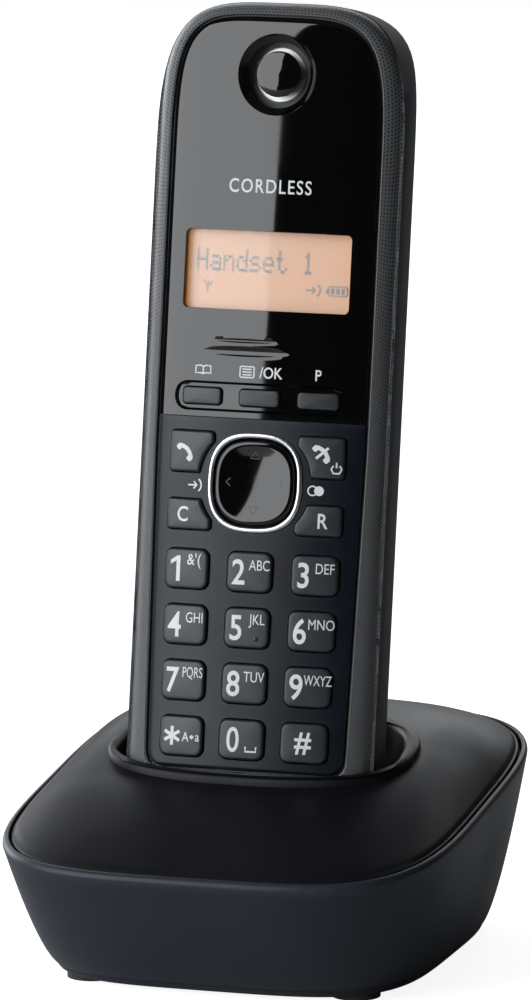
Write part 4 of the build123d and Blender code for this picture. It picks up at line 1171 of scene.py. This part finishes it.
def lower_shell(base):
    """The base's shell: bottom, side wall, rim and inner skin."""
    half_x, half_y = base.width / 2, base.depth / 2
    foot_x, foot_y = FOOT_WIDTH / 2, FOOT_DEPTH / 2

    def wall(share, inset, low, top):
        spread = share ** WALL_BULGE
        return base_ring(foot_x + (half_x - foot_x) * spread - inset,
                         foot_y + (half_y - foot_y) * spread - inset,
                         FOOT_SHIFT * (1 - spread), RIM_SQUARENESS,
                         low + (top - low) * share, RIM_SLOPE * share)

    rings = [base_ring(foot_x * 0.1, foot_y * 0.1, FOOT_SHIFT, RIM_SQUARENESS, SHELL_FLOOR, 0)]
    for i in range(7):
        angle = math.pi / 2 * i / 6
        inset, rise = SHELL_ROUND * (1 - math.sin(angle)), SHELL_ROUND * (1 - math.cos(angle))
        rings.append(base_ring(foot_x - inset, foot_y - inset, FOOT_SHIFT, RIM_SQUARENESS,
                               SHELL_FLOOR + rise, 0))
    low, top = SHELL_FLOOR + SHELL_ROUND, base.rim_height - RIM_ROUND
    for i in range(1, 25):
        rings.append(wall((i / 24) ** 1.4, 0, low, top))
    for i in range(1, 6):
        angle = math.pi / 2 * i / 5
        inset = RIM_ROUND * 0.7 * (1 - math.cos(angle))
        rings.append(base_ring(half_x - inset, half_y - inset, 0, RIM_SQUARENESS,
                               top + RIM_ROUND * math.sin(angle), RIM_SLOPE))
    for inset, drop in ((RIM_LIP - 0.12, 0.03), (RIM_LIP, 0.2), (RIM_LIP, 2.4), (BASE_WALL, 2.4)):
        rings.append(base_ring(half_x - inset, half_y - inset, 0, RIM_SQUARENESS,
                               base.rim_height - drop, RIM_SLOPE))
    floor = SHELL_FLOOR + BASE_WALL
    for i in range(8, -1, -1):
        rings.append(wall((i / 8) * 0.9, BASE_WALL, floor, top - 1.5))
    rings.append(base_ring(foot_x * 0.1, foot_y * 0.1, FOOT_SHIFT, RIM_SQUARENESS, floor, 0))
    shape = Shape()
    shape.rings(rings)
    return shape


def well_point(angle, spare, set_back, v=None, lip=None):
    """A point of the cradle's wall round the handset: at height v, or where it meets the lip."""
    c, s = math.cos(angle), math.sin(angle)
    n = FRONT_SQUARENESS if s < 0 else BACK_SQUARENESS
    reach = (FRONT_CROWN if s < 0 else BACK_CROWN) + spare
    u = math.copysign(abs(c) ** (2 / n), c) * (HALF_WIDTH + spare)
    w = -FRONT_CROWN - math.copysign(abs(s) ** (2 / n), s) * reach - set_back
    if lip is not None:
        start = on_handset(u, 0, w) / MM
        v = (lip + LIP_SLOPE * (start.y - LIP_SHIFT) - start.z) / (ALONG.z - LIP_SLOPE * ALONG.y)
    spot = on_handset(u, v, w) / MM
    return (spot.x, spot.y, spot.z)


def top_cover(base):
    """The base's cover: dome, cradle lip, well and inner skin."""
    half_x = base.width / 2 - RIM_LIP - RIM_GROOVE
    half_y = base.depth / 2 - RIM_LIP - RIM_GROOVE

    def dome(share, inset=0.0, drop=0.0):
        rise = 1 - (1 - share) ** DOME_CROWN
        return base_ring(half_x - inset + (LIP_WIDTH / 2 + inset * 0.5 - half_x) * share,
                         half_y - inset + (LIP_DEPTH / 2 + inset * 0.5 - half_y) * share,
                         LIP_SHIFT * share,
                         RIM_SQUARENESS + (LIP_SQUARENESS - RIM_SQUARENESS) * share,
                         base.rim_height + (base.lip_height - LIP_ROUND - base.rim_height) * rise - drop,
                         RIM_SLOPE + (LIP_SLOPE - RIM_SLOPE) * rise)

    rings = [base_ring(half_x, half_y, 0, RIM_SQUARENESS, base.rim_height - 2.4, RIM_SLOPE),
             base_ring(half_x, half_y, 0, RIM_SQUARENESS, base.rim_height - COVER_ROUND, RIM_SLOPE)]
    for i in range(1, 5):
        angle = math.pi / 2 * i / 4
        inset = COVER_ROUND * (1 - math.cos(angle))
        rings.append(base_ring(half_x - inset, half_y - inset, 0, RIM_SQUARENESS,
                               base.rim_height - COVER_ROUND * (1 - math.sin(angle)), RIM_SLOPE))
    for i in range(1, 33):
        rings.append(dome(0.02 + 0.98 * i / 32))
    lip_top = base.lip_height - LIP_SLOPE * LIP_SHIFT
    for i in range(1, 6):
        angle = math.pi / 2 * i / 5
        inset = 1.1 * (1 - math.cos(angle))
        rings.append(base_ring(LIP_WIDTH / 2 - inset, LIP_DEPTH / 2 - inset, LIP_SHIFT, LIP_SQUARENESS,
                               lip_top - LIP_ROUND * (1 - math.sin(angle)), LIP_SLOPE))
    mouth = 2.8
    for i in range(6):
        angle = math.pi / 2 * i / 5
        spare = mouth + 1.0 * (1 - math.sin(angle))
        height = base.lip_height - 1.0 * (1 - math.cos(angle))
        rings.append([well_point(a, spare, mouth / 2, lip=height) for a in ANGLES])
    rings.append([well_point(a, mouth, mouth / 2, lip=base.lip_height - 3.0) for a in ANGLES])
    for v, share in ((V_LOW + 12, 0.45), (V_LOW + 8, 0.2), (V_LOW + 4, 0.0), (V_LOW - 0.1, 0.0)):
        flare = WELL_FLARE * share
        rings.append([well_point(a, WELL_CLEARANCE + flare, flare / 2, v=v) for a in ANGLES])
    for v in (V_LOW - 0.1, V_LOW - 1.7):
        rings.append([well_point(a, -5.0, 0.0, v=v) for a in ANGLES])
    for v, share in ((V_LOW - 1.7, 0.0), (V_LOW + 4, 0.0), (V_LOW + 10, 0.4)):
        flare = WELL_FLARE * share
        spare = WELL_CLEARANCE + WELL_WALL + flare
        rings.append([well_point(a, spare, flare / 2, v=v) for a in ANGLES])
    for share in (1.0, 0.9, 0.75, 0.6, 0.45, 0.3, 0.15, 0.02):
        rings.append(dome(share, COVER_WALL, COVER_WALL))
    rings.append(base_ring(half_x - 1.0, half_y - 1.0, 0, RIM_SQUARENESS,
                           base.rim_height - 2.4, RIM_SLOPE))
    shape = Shape()
    shape.rings(rings, closed=True)
    return shape


# --- operators ----------------------------------------------------------------------------------
class PHONE_OT_handset_cases(bpy.types.Operator):
    """Build the handset's front case, rear case and battery door"""
    bl_idname = "phone.handset_cases"
    bl_label = "Handset Cases"

    def execute(self, context):
        front = mesh_of(front_case(), "handset_front_shell", on_handset)
        settle(front, "handset", ["dotted_case_painted_sheen"], ["handset_front_case"])
        rear = mesh_of(rear_case(), "handset_rear_shell", on_handset)
        cutter = Shape()
        cutter.prism(rounded_box(0, 33.5, 33.4, 55.4, 3.2), -40, -17)
        for side in (-1, 1):
            cutter.prism(circle(side * 18.4, 70.0, 2.1, 32), -40, -12.6)
        for i in range(5):
            cutter.prism(rounded_box(0, 92.0 + (i - 2) * 2.6, 10.0, 1.2, 0.55), -40, -14)
        carve(rear, cutter, on_handset)
        pads = Shape()
        for side in (-1, 1):
            pads.prism(rounded_box(side * 8.0, V_LOW, 5.1, 4.4, 0.3), -17.55, -12.45)
        carve(rear, pads, on_handset)
        settle(rear, "handset", ["case_plastic"], ["handset_rear_case"])
        door_low, door_high, door_half, corner = DOOR
        rows = [6.02 + 0.08 * i for i in range(5)] + [6.4 + 54.2 * i / 60 for i in range(1, 60)]
        rows += [60.66 + 0.08 * i for i in range(5)]

        def half(v):
            edge = min(v - door_low, door_high - v)
            if edge >= corner:
                return door_half
            return door_half - corner + math.sqrt(max(corner ** 2 - (corner - edge) ** 2, 0))

        def skin(u, v):
            edge = min(door_half - abs(u), v - door_low, door_high - v)
            grip = 0.0
            if 50 < v < 57 and abs(u) < 6:
                wave = power(math.sin((v - 50) * math.pi / 7 * 5), 2)
                grip = 0.35 * wave * (1 - abs(u / 6) ** 4)
            return -back_depth(u, v) + 0.25 * (1 - min(max(edge, 0), 0.4) / 0.4) ** 2 + grip

        door = Shape()
        door.plate(rows, edge_columns(), half, skin, lambda u, v: -back_depth(u, v) + 1.6)
        piece = mesh_of(door, "battery_lid", on_handset)
        settle(piece, "battery_door", ["case_plastic"], ["battery_door"])
        return {"FINISHED"}


class PHONE_OT_handset_panels(bpy.types.Operator):
    """Build the glossy upper panel and the matte keypad panel with their openings"""
    bl_idname = "phone.handset_panels"
    bl_label = "Handset Panels"

    def execute(self, context):
        upper = mesh_of(upper_panel(), "gloss_panel", on_handset)
        cutter = Shape()
        cutter.prism(rounded_box(*WINDOW), -6, 6)
        carve(upper, cutter, on_handset)
        carve(upper, pocket(SOFT_SLOT, 0.7), on_handset)
        carve(upper, dimple(-3.4, 73.4, 6.2, 0.42, 0.2), on_handset)
        carve(upper, dimple(-3.2, 71.3, 8.7, 0.85, 0.25), on_handset)
        holes = Shape()
        for column in (-1, 0, 1):
            holes.prism(rounded_box(column * SOFT_PITCH, SOFT_V, SOFT_WIDTH + 2 * KEY_GAP,
                                    SOFT_HEIGHT + 2 * KEY_GAP, 0.95), -6, 6)
        carve(upper, holes, on_handset)
        carve(upper, earpiece_cutter(), on_handset)
        settle(upper, "handset", ["gloss_plastic"], ["upper_panel"])
        printed = mesh_of(panel_marks(), "panel_printing", on_handset)
        settle(printed, "handset", ["legend_ink"])
        lower = mesh_of(keypad_panel(), "keypad_plate", on_handset)
        holes = Shape()
        handset = context.scene.phone_handset
        for _, u, v in number_key_places():
            holes.prism(rounded_box(u, v, handset.key_width + 2 * KEY_GAP, handset.key_height + 2 * KEY_GAP,
                                    1.75), -6, 6)
        for _, side, low, high in SIDE_KEYS:
            holes.prism(grown(side_key_outline(side, low, high), KEY_GAP), -6, 6)
        holes.prism(oval(*RING_HALF, 2.7, 96, 0, RING_V), -6, 6)
        carve(lower, holes, on_handset)
        settle(lower, "handset", ["keypad_plastic"], ["keypad_panel"])
        return {"FINISHED"}


def grown(outline, amount):
    """The outline moved outwards by an amount, along its own normals."""
    count = len(outline)
    area = sum(outline[i - 1][0] * outline[i][1] - outline[i][0] * outline[i - 1][1]
               for i in range(count))
    side = 1 if area > 0 else -1
    moved = []
    for i in range(count):
        before, here, after = outline[i - 1], outline[i], outline[(i + 1) % count]
        dx, dy = after[0] - before[0], after[1] - before[1]
        length = math.hypot(dx, dy) or 1.0
        moved.append((here[0] + side * dy / length * amount, here[1] - side * dx / length * amount))
    return moved


def lathe(shape, u, v, profile, steps=64):
    """A closed turned shape: profile gives radius and height w from its axis outwards."""
    shape.rings([[(x, y, w) for x, y in circle(u, v, r, steps)] for r, w in profile])


def earpiece_cutter():
    """The earpiece's dish: a rounded hollow with a raised button left in its middle."""
    u, v, radius = EARPIECE
    shape = Shape()
    profile = [(0.05, 3.0), (radius + 1.0, 3.0), (radius + 0.35, 0.35)]
    for i in range(1, 15):
        share = i / 14
        r = radius + 0.2 - (radius - 4.7) * share
        profile.append((r, 0.10 - 1.75 * math.sin(share * math.pi / 2)))
    profile += [(4.55, -1.6), (4.3, -1.25), (4.0, -1.1), (2.0, -0.95), (0.05, -0.9)]
    lathe(shape, u, v, profile)
    return shape


def panel_marks():
    """Signs printed on the upper panel: phone book, menu, P and the word above the display."""
    shape = Shape()
    cover = [(0, -0.7), (-0.6, -0.5), (-1.5, -0.6), (-1.5, 0.75), (-0.6, 0.85), (0, 0.65)]
    mirrored = [(-x, y) for x, y in cover]
    for line, lift in ((cover, 0.0), (mirrored, 0.0), ([(0, -0.7), (0, 0.65)], 0.004)):
        ink(shape, stroke(line, 0.24), -11.1, SIGN_V, fascia_height, lift=lift, paint=0)
    page = rounded_box(-2.9, 0, 2.7, 2.0, 0.15, 1)
    ink(shape, stroke(page, 0.24, closed=True), 0.4, SIGN_V, fascia_height, paint=0)
    for i in (-1, 0, 1):
        ink(shape, stroke([(-3.8, i * 0.52), (-2.0, i * 0.52)], 0.24), 0.4, SIGN_V, fascia_height, paint=0)
    ink(shape, lettering("/OK", 2.9, 0.03, 0.85), 2.1, SIGN_V, fascia_height, paint=0)
    ink(shape, lettering("P", 2.9, 0.03, 0.85), 11.1, SIGN_V, fascia_height, paint=0)
    ink(shape, lettering("CORDLESS", 3.6, 0.03, 0.82, 1.18), 0.2, 102.0, fascia_height, paint=0)
    return shape


# lines of the power sign, each with its lift
POWER_SIGN = (([(-0.55, -0.8), (-0.95, 0.0), (-0.55, 0.6)], 0.0),
              ([(0.55, -0.8), (0.95, 0.0), (0.55, 0.6)], 0.0),
              ([(-0.6, -0.8), (0.6, -0.8)], 0.004), ([(0.0, 0.2), (0.0, 1.2)], 0.0))
# radius and height of the raised pip on key 5
FIVE_PIP = ((0.5, -0.1), (0.45, 0.15), (0.25, 0.25), (0.03, 0.28))


class PHONE_OT_keys(bpy.types.Operator):
    """Build the number keys, side keys and soft keys with their legends"""
    bl_idname = "phone.keys"
    bl_label = "Keys"

    def execute(self, context):
        handset = context.scene.phone_handset
        rise, edge = handset.key_rise, handset.key_round
        for name, u, v in number_key_places():
            outline = rounded_box(u, v, handset.key_width, handset.key_height, 1.5)
            shape = key_cap(outline, rise, edge, KEY_FOOT)
            surface = key_surface(outline, rise)
            key_legend(shape, name, u, v, surface)
            if name == "5":
                spot = (u + 1.9, v - 1.9)
                lathe(shape, *spot, [(r, surface(*spot) + w) for r, w in FIVE_PIP], 20)
            node = "key_" + name
            piece = mesh_of(shape, node + "_cap", on_handset)
            settle(piece, node, ["key_plastic", "legend_ink"], [node])
        for node, side, low, high in SIDE_KEYS:
            outline = side_key_outline(side, low, high)
            shape = key_cap(outline, rise, edge, KEY_FOOT)
            surface = key_surface(outline, rise)
            u, v = side * 13.5, (low + high) / 2
            if node == "talk_key":
                handset_sign(shape, u, v, surface)
            elif node == "off_key":
                handset_sign(shape, u - 0.7, v + 0.9, surface, crossed=True)
                for line, lift in POWER_SIGN:
                    ink(shape, stroke(line, 0.3), u + 2.0, v - 1.9, surface, lift=lift)
            else:
                text = "C" if node == "clear_key" else "R"
                ink(shape, lettering(text, 3.9, 0.05, 0.85), u, v, surface)
            piece = mesh_of(shape, node + "_cap", on_handset)
            settle(piece, node, ["key_plastic", "legend_ink"], [node])
        for column, word in enumerate(SOFT_KEYS):
            u = (column - 1) * SOFT_PITCH
            outline = rounded_box(u, SOFT_V, SOFT_WIDTH, SOFT_HEIGHT, 0.7, 8)
            shape = key_cap(outline, 0.1, 0.35, 1.7, 0.08)
            node = "soft_key_" + word
            piece = mesh_of(shape, node + "_cap", on_handset)
            settle(piece, node, ["key_plastic"], [node])
        return {"FINISHED"}


class PHONE_OT_navigator(bpy.types.Operator):
    """Build the navigator key, its silver ring and the signs beside it"""
    bl_idname = "phone.navigator"
    bl_label = "Navigator"

    def execute(self, context):
        count = 96
        rings = []
        for i in range(16):
            angle = 2 * math.pi * i / 16
            inset = 0.5 - 0.5 * math.cos(angle)
            height = 0.35 * math.sin(angle) + 0.15
            if height < 0:
                height *= 4
            ring = oval(RING_HALF[0] - inset, RING_HALF[1] - inset, 2.7, count, 0, RING_V)
            rings.append([(u, v, face_height(u, v) + height) for u, v in ring])
        shape = Shape()
        shape.rings(rings, closed=True)
        piece = mesh_of(shape, "silver_ring", on_handset)
        settle(piece, "handset", ["silver"], ["navigator_ring"])
        half_u, half_v = NAVIGATOR_HALF
        rings = []
        for share, w in ((1.0, -2.4), (1.0, -0.1), (0.993, 0.15), (0.97, 0.36), (0.94, 0.46), (0.90, 0.47),
                         (0.85, 0.42), (0.7, 0.25), (0.5, 0.08), (0.3, -0.02), (0.15, -0.055),
                         (0.02, -0.06)):
            ring = oval(half_u * share, half_v * share, 2.7 - 0.5 * (1 - share), count, 0, RING_V)
            rings.append([(u, v, face_height(u, v) + w) for u, v in ring])
        shape = Shape()
        shape.rings(rings)

        def surface(u, v):
            share = power(abs(u / half_u) ** 2.6 + abs((v - RING_V) / half_v) ** 2.6, 1 / 2.6)
            return face_height(u, v) - 0.05 + 0.62 * min(1.0, share) ** 2.0

        triangle = stroke([(-0.95, -0.5), (0.95, -0.5), (0.0, 0.75)], 0.22, closed=True)
        for side, turn in ((1, 0), (-1, 180)):
            ink(shape, triangle, 0, RING_V + side * 5.0, surface, turn=turn)
        chevron = stroke([(-0.75, -0.35), (0.0, 0.45), (0.75, -0.35)], 0.24)
        for side, turn in ((-1, 90), (1, -90)):
            ink(shape, chevron, side * 5.0, RING_V, surface, turn=turn)
        piece = mesh_of(shape, "navigator_key", on_handset)
        settle(piece, "navigator", ["gloss_plastic", "dim_ink"], ["navigator"])
        signs = Shape()
        bow = [(0.8 * math.cos(a), 1.15 * math.sin(a)) for a in [-1.25 + 0.3125 * i for i in range(9)]]
        for line, u in (([(-1.1, 0), (0.6, 0)], -11.9), ([(0.0, 0.65), (0.65, 0), (0.0, -0.65)], -11.9),
                        (bow, -11.2)):
            ink(signs, stroke(line, 0.28), u, 46.4, fascia_height, paint=0)
        ring = stroke(circle(-0.55, 0, 0.85, 24), 0.26, closed=True)
        for drawing in (ring, filled(circle(0.65, 0, 0.9, 24))):
            ink(signs, drawing, 11.6, 46.5, fascia_height, paint=0)
        piece = mesh_of(signs, "keypad_printing", on_handset)
        settle(piece, "handset", ["legend_ink"])
        return {"FINISHED"}


class PHONE_OT_display(bpy.types.Operator):
    """Build the display with its text and signs"""
    bl_idname = "phone.display"
    bl_label = "Display"

    def execute(self, context):
        frame_shape = Shape()
        mid_u, mid_v, width, height, corner = WINDOW
        inner = rounded_box(mid_u, mid_v, width - 0.1, height - 0.1, corner)
        outer = rounded_box(mid_u, mid_v, width + 1.4, height + 1.4, corner + 0.5)
        frame_shape.rings([[(u, v, face_height(u, v) - 0.8) for u, v in inner],
                           [(u, v, -3.34) for u, v in inner], [(u, v, -3.34) for u, v in outer],
                           [(u, v, face_height(u, v) - 1.25) for u, v in outer]], closed=True)
        surround = mesh_of(frame_shape, "display_surround", on_handset)
        settle(surround, "handset", ["gloss_plastic"])
        shape = display_shape(context.scene.phone_handset.display_text, -3.35)
        piece = mesh_of(shape, "display_panel", on_handset)
        settle(piece, "handset", ["display_amber", "display_dots"], ["display_glass"])
        return {"FINISHED"}


class PHONE_OT_base(bpy.types.Operator):
    """Build the base's lower shell and its domed cover with the cradle"""
    bl_idname = "phone.base"
    bl_label = "Base"

    def execute(self, context):
        base = context.scene.phone_base
        shell = mesh_of(lower_shell(base), "base_shell", on_base)
        cutter = Shape()
        spare = 0.05
        for node in ("line_jack", "dc_jack"):
            low, high = (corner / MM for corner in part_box(node))
            cutter.rings([[(low.x - spare, y, low.z - spare), (high.x + spare, y, low.z - spare),
                           (high.x + spare, y, high.z + spare), (low.x - spare, y, high.z + spare)]
                          for y in (30.0, 60.0)])
        low, high = (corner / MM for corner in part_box("locator_button"))
        button_hole = circle(0, (low.z + high.z) / 2, 3.75)
        cutter.rings([[(x, y, z) for x, z in button_hole] for y in (30.0, 60.0)])
        carve(shell, cutter, on_base)
        screws = Shape()
        for x in (-25.0, 25.0):
            for y in (-24.0, 21.0):
                screws.prism(circle(x, y, 2.3, 32), -1.0, 3.9)
        carve(shell, screws, on_base)
        settle(shell, "base", ["shell_plastic"], ["base_lower_shell"])
        cover = mesh_of(top_cover(base), "base_cover", on_base)
        holes = Shape()
        for side in (-1, 1):
            contact_hole = circle(side * 8.0, -15.0, 1.65, 32)
            holes.rings([[tuple(on_handset(u, v, w) / MM) for u, w in contact_hole]
                         for v in (V_LOW - 6, V_LOW + 3)])
        carve(cover, holes, on_base)
        settle(cover, "base", ["cover_plastic"], ["base_top_cover"])
        return {"FINISHED"}


CAD_FINISHES = {
    "base_circuit_board": "board", "base_radio_shield": "steel", "line_jack": "jack_plastic",
    "line_jack_contacts": "gold", "dc_jack": "jack_plastic", "dc_jack_pin": "steel",
    "base_feet": "rubber", "base_screws": "steel", "locator_switch": "jack_plastic",
    "display_window": "clear_window", "display_backlight": "milky", "earpiece_gasket": "gasket",
    "earpiece_speaker": "steel", "ringer_speaker": "steel", "microphone": "steel",
    "microphone_boot": "gasket", "handset_circuit_board": "board", "handset_radio_shield": "steel",
    "keypad_mat": "gasket", "key_contacts": "carbon", "handset_antenna": "steel",
    "battery_cells": "sleeve", "battery_springs": "steel", "battery_plates": "steel",
    "handset_charge_pads": "gold", "handset_screws": "steel", "navigator_pivot": "key_plastic",
    "locator_button": "key_plastic", "charge_contact_left": "gold", "charge_contact_right": "gold",
}


class PHONE_OT_finishes(bpy.types.Operator):
    """Give the parts that keep their own form their finishes"""
    bl_idname = "phone.finishes"
    bl_label = "Finishes"

    def execute(self, context):
        for node, name in CAD_FINISHES.items():
            piece = frame["nodes"][node]
            piece.data.materials.clear()
            piece.data.materials.append(finish(name))
        return {"FINISHED"}


# name, azimuth and elevation in degrees, distance, width and height in metres, radiance
LAMPS = (("front_left_softbox", -40, 16, 1.3, 1.1, 1.5, 4.6),
         ("back_left_strip", -118, 8, 1.2, 0.7, 1.0, 5.5),
         ("back_softbox", 190, 22, 1.3, 1.2, 0.5, 2.4),
         ("overhead_softbox", 20, 78, 1.3, 1.4, 1.4, 0.05),
         ("right_fill", 75, 15, 1.8, 0.8, 1.2, 0.03))


def aimed(name, data, target, azimuth, elevation, distance):
    """A lamp or camera at a distance from the target, facing it."""
    away = Vector((math.sin(azimuth) * math.cos(elevation),
                   -math.cos(azimuth) * math.cos(elevation), math.sin(elevation)))
    thing = bpy.data.objects.new(name, data)
    thing.location = target + distance * away
    thing.rotation_euler = (target - thing.location).to_track_quat("-Z", "Y").to_euler()
    bpy.context.scene.collection.objects.link(thing)
    return thing


class PHONE_OT_stage(bpy.types.Operator):
    """Set the floor, the lights and the camera"""
    bl_idname = "phone.stage"
    bl_label = "Stage"

    def execute(self, context):
        stage = context.scene.phone_stage
        scene = context.scene
        scene.view_settings.view_transform = "Standard"
        floor = Shape()
        lathe(floor, 0, 0, ((1.0, -4.0), (9000.0, -4.0), (9000.0, 0.0), (1.0, 0.0)), 96)
        ground = mesh_of(floor, "studio_floor", on_base)
        ground.data.materials.append(floor_material(stage.floor_colour))
        world = bpy.data.worlds.new("studio")
        world.use_nodes = True
        scene.world = world
        tree = world.node_tree
        back = next(node for node in tree.nodes if node.type == "BACKGROUND")
        back.inputs["Color"].default_value = (1, 1, 1, 1)
        path = add(tree, "ShaderNodeLightPath")
        tree.links.new(ramp(tree, path.outputs["Is Camera Ray"], 0.0, 1.0, 0.03, 1.0),
                       back.inputs["Strength"])
        target = Vector(stage.target)
        for name, azimuth, elevation, distance, width, height, radiance in LAMPS:
            data = bpy.data.lights.new(name, "AREA")
            data.shape = "RECTANGLE"
            data.size, data.size_y = width, height
            data.energy = radiance * math.pi * width * height
            data.color = (0.94, 0.97, 1.0)
            aimed(name, data, target, math.radians(azimuth), math.radians(elevation), distance)
        data = bpy.data.cameras.new("camera")
        data.sensor_fit = "VERTICAL"
        data.sensor_height = 36.0
        data.lens = stage.lens
        data.clip_end = 50.0
        scene.camera = aimed("camera", data, target, stage.azimuth, stage.elevation, stage.distance)
        return {"FINISHED"}


def floor_material(colour):
    """White ground that looks evenly lit to the camera and still takes soft shadows."""
    material, tree, shader = blank("studio_ground")
    noise = add(tree, "ShaderNodeTexNoise")
    noise.inputs["Scale"].default_value = 4.0
    darker = tuple(channel * 0.985 for channel in colour)
    base = blended(tree, tuple(colour), darker, noise.outputs["Fac"])
    tree.links.new(base, shader.inputs["Base Color"])
    shader.inputs["Roughness"].default_value = 0.9
    shader.inputs["Emission Color"].default_value = (1, 1, 1, 1)
    path = add(tree, "ShaderNodeLightPath")
    tree.links.new(ramp(tree, path.outputs["Is Camera Ray"], 0.0, 1.0, 0.0, 0.9),
                   shader.inputs["Emission Strength"])
    return material


class PHONE_PT_panel(bpy.types.Panel):
    """Lists the steps that build the phone"""
    bl_idname = "PHONE_PT_panel"
    bl_label = "Cordless Phone"
    bl_space_type = "VIEW_3D"
    bl_region_type = "UI"
    bl_category = "Phone"

    def draw(self, context):
        layout = self.layout
        scene = context.scene
        for settings in (scene.phone_handset, scene.phone_base, scene.phone_stage):
            box = layout.box()
            for label in settings.__annotations__:
                box.prop(settings, label)
        for operator in STEPS:
            layout.operator(operator.bl_idname)


STEPS = (PHONE_OT_handset_cases, PHONE_OT_handset_panels, PHONE_OT_keys, PHONE_OT_navigator,
         PHONE_OT_display, PHONE_OT_base, PHONE_OT_finishes, PHONE_OT_stage)
CLASSES = (PhoneHandsetSettings, PhoneBaseSettings, PhoneStageSettings, *STEPS, PHONE_PT_panel)


def register():
    for item in CLASSES:
        bpy.utils.register_class(item)
    bpy.types.Scene.phone_handset = bpy.props.PointerProperty(type=PhoneHandsetSettings)
    bpy.types.Scene.phone_base = bpy.props.PointerProperty(type=PhoneBaseSettings)
    bpy.types.Scene.phone_stage = bpy.props.PointerProperty(type=PhoneStageSettings)


def unregister():
    del bpy.types.Scene.phone_stage
    del bpy.types.Scene.phone_base
    del bpy.types.Scene.phone_handset
    for item in reversed(CLASSES):
        bpy.utils.unregister_class(item)


def main():
    register()
    bpy.ops.phone.handset_cases()
    bpy.ops.phone.handset_panels()
    bpy.ops.phone.keys()
    bpy.ops.phone.navigator()
    bpy.ops.phone.display()
    bpy.ops.phone.base()
    bpy.ops.phone.finishes()
    bpy.ops.phone.stage()


if __name__ == "__main__":
    main()
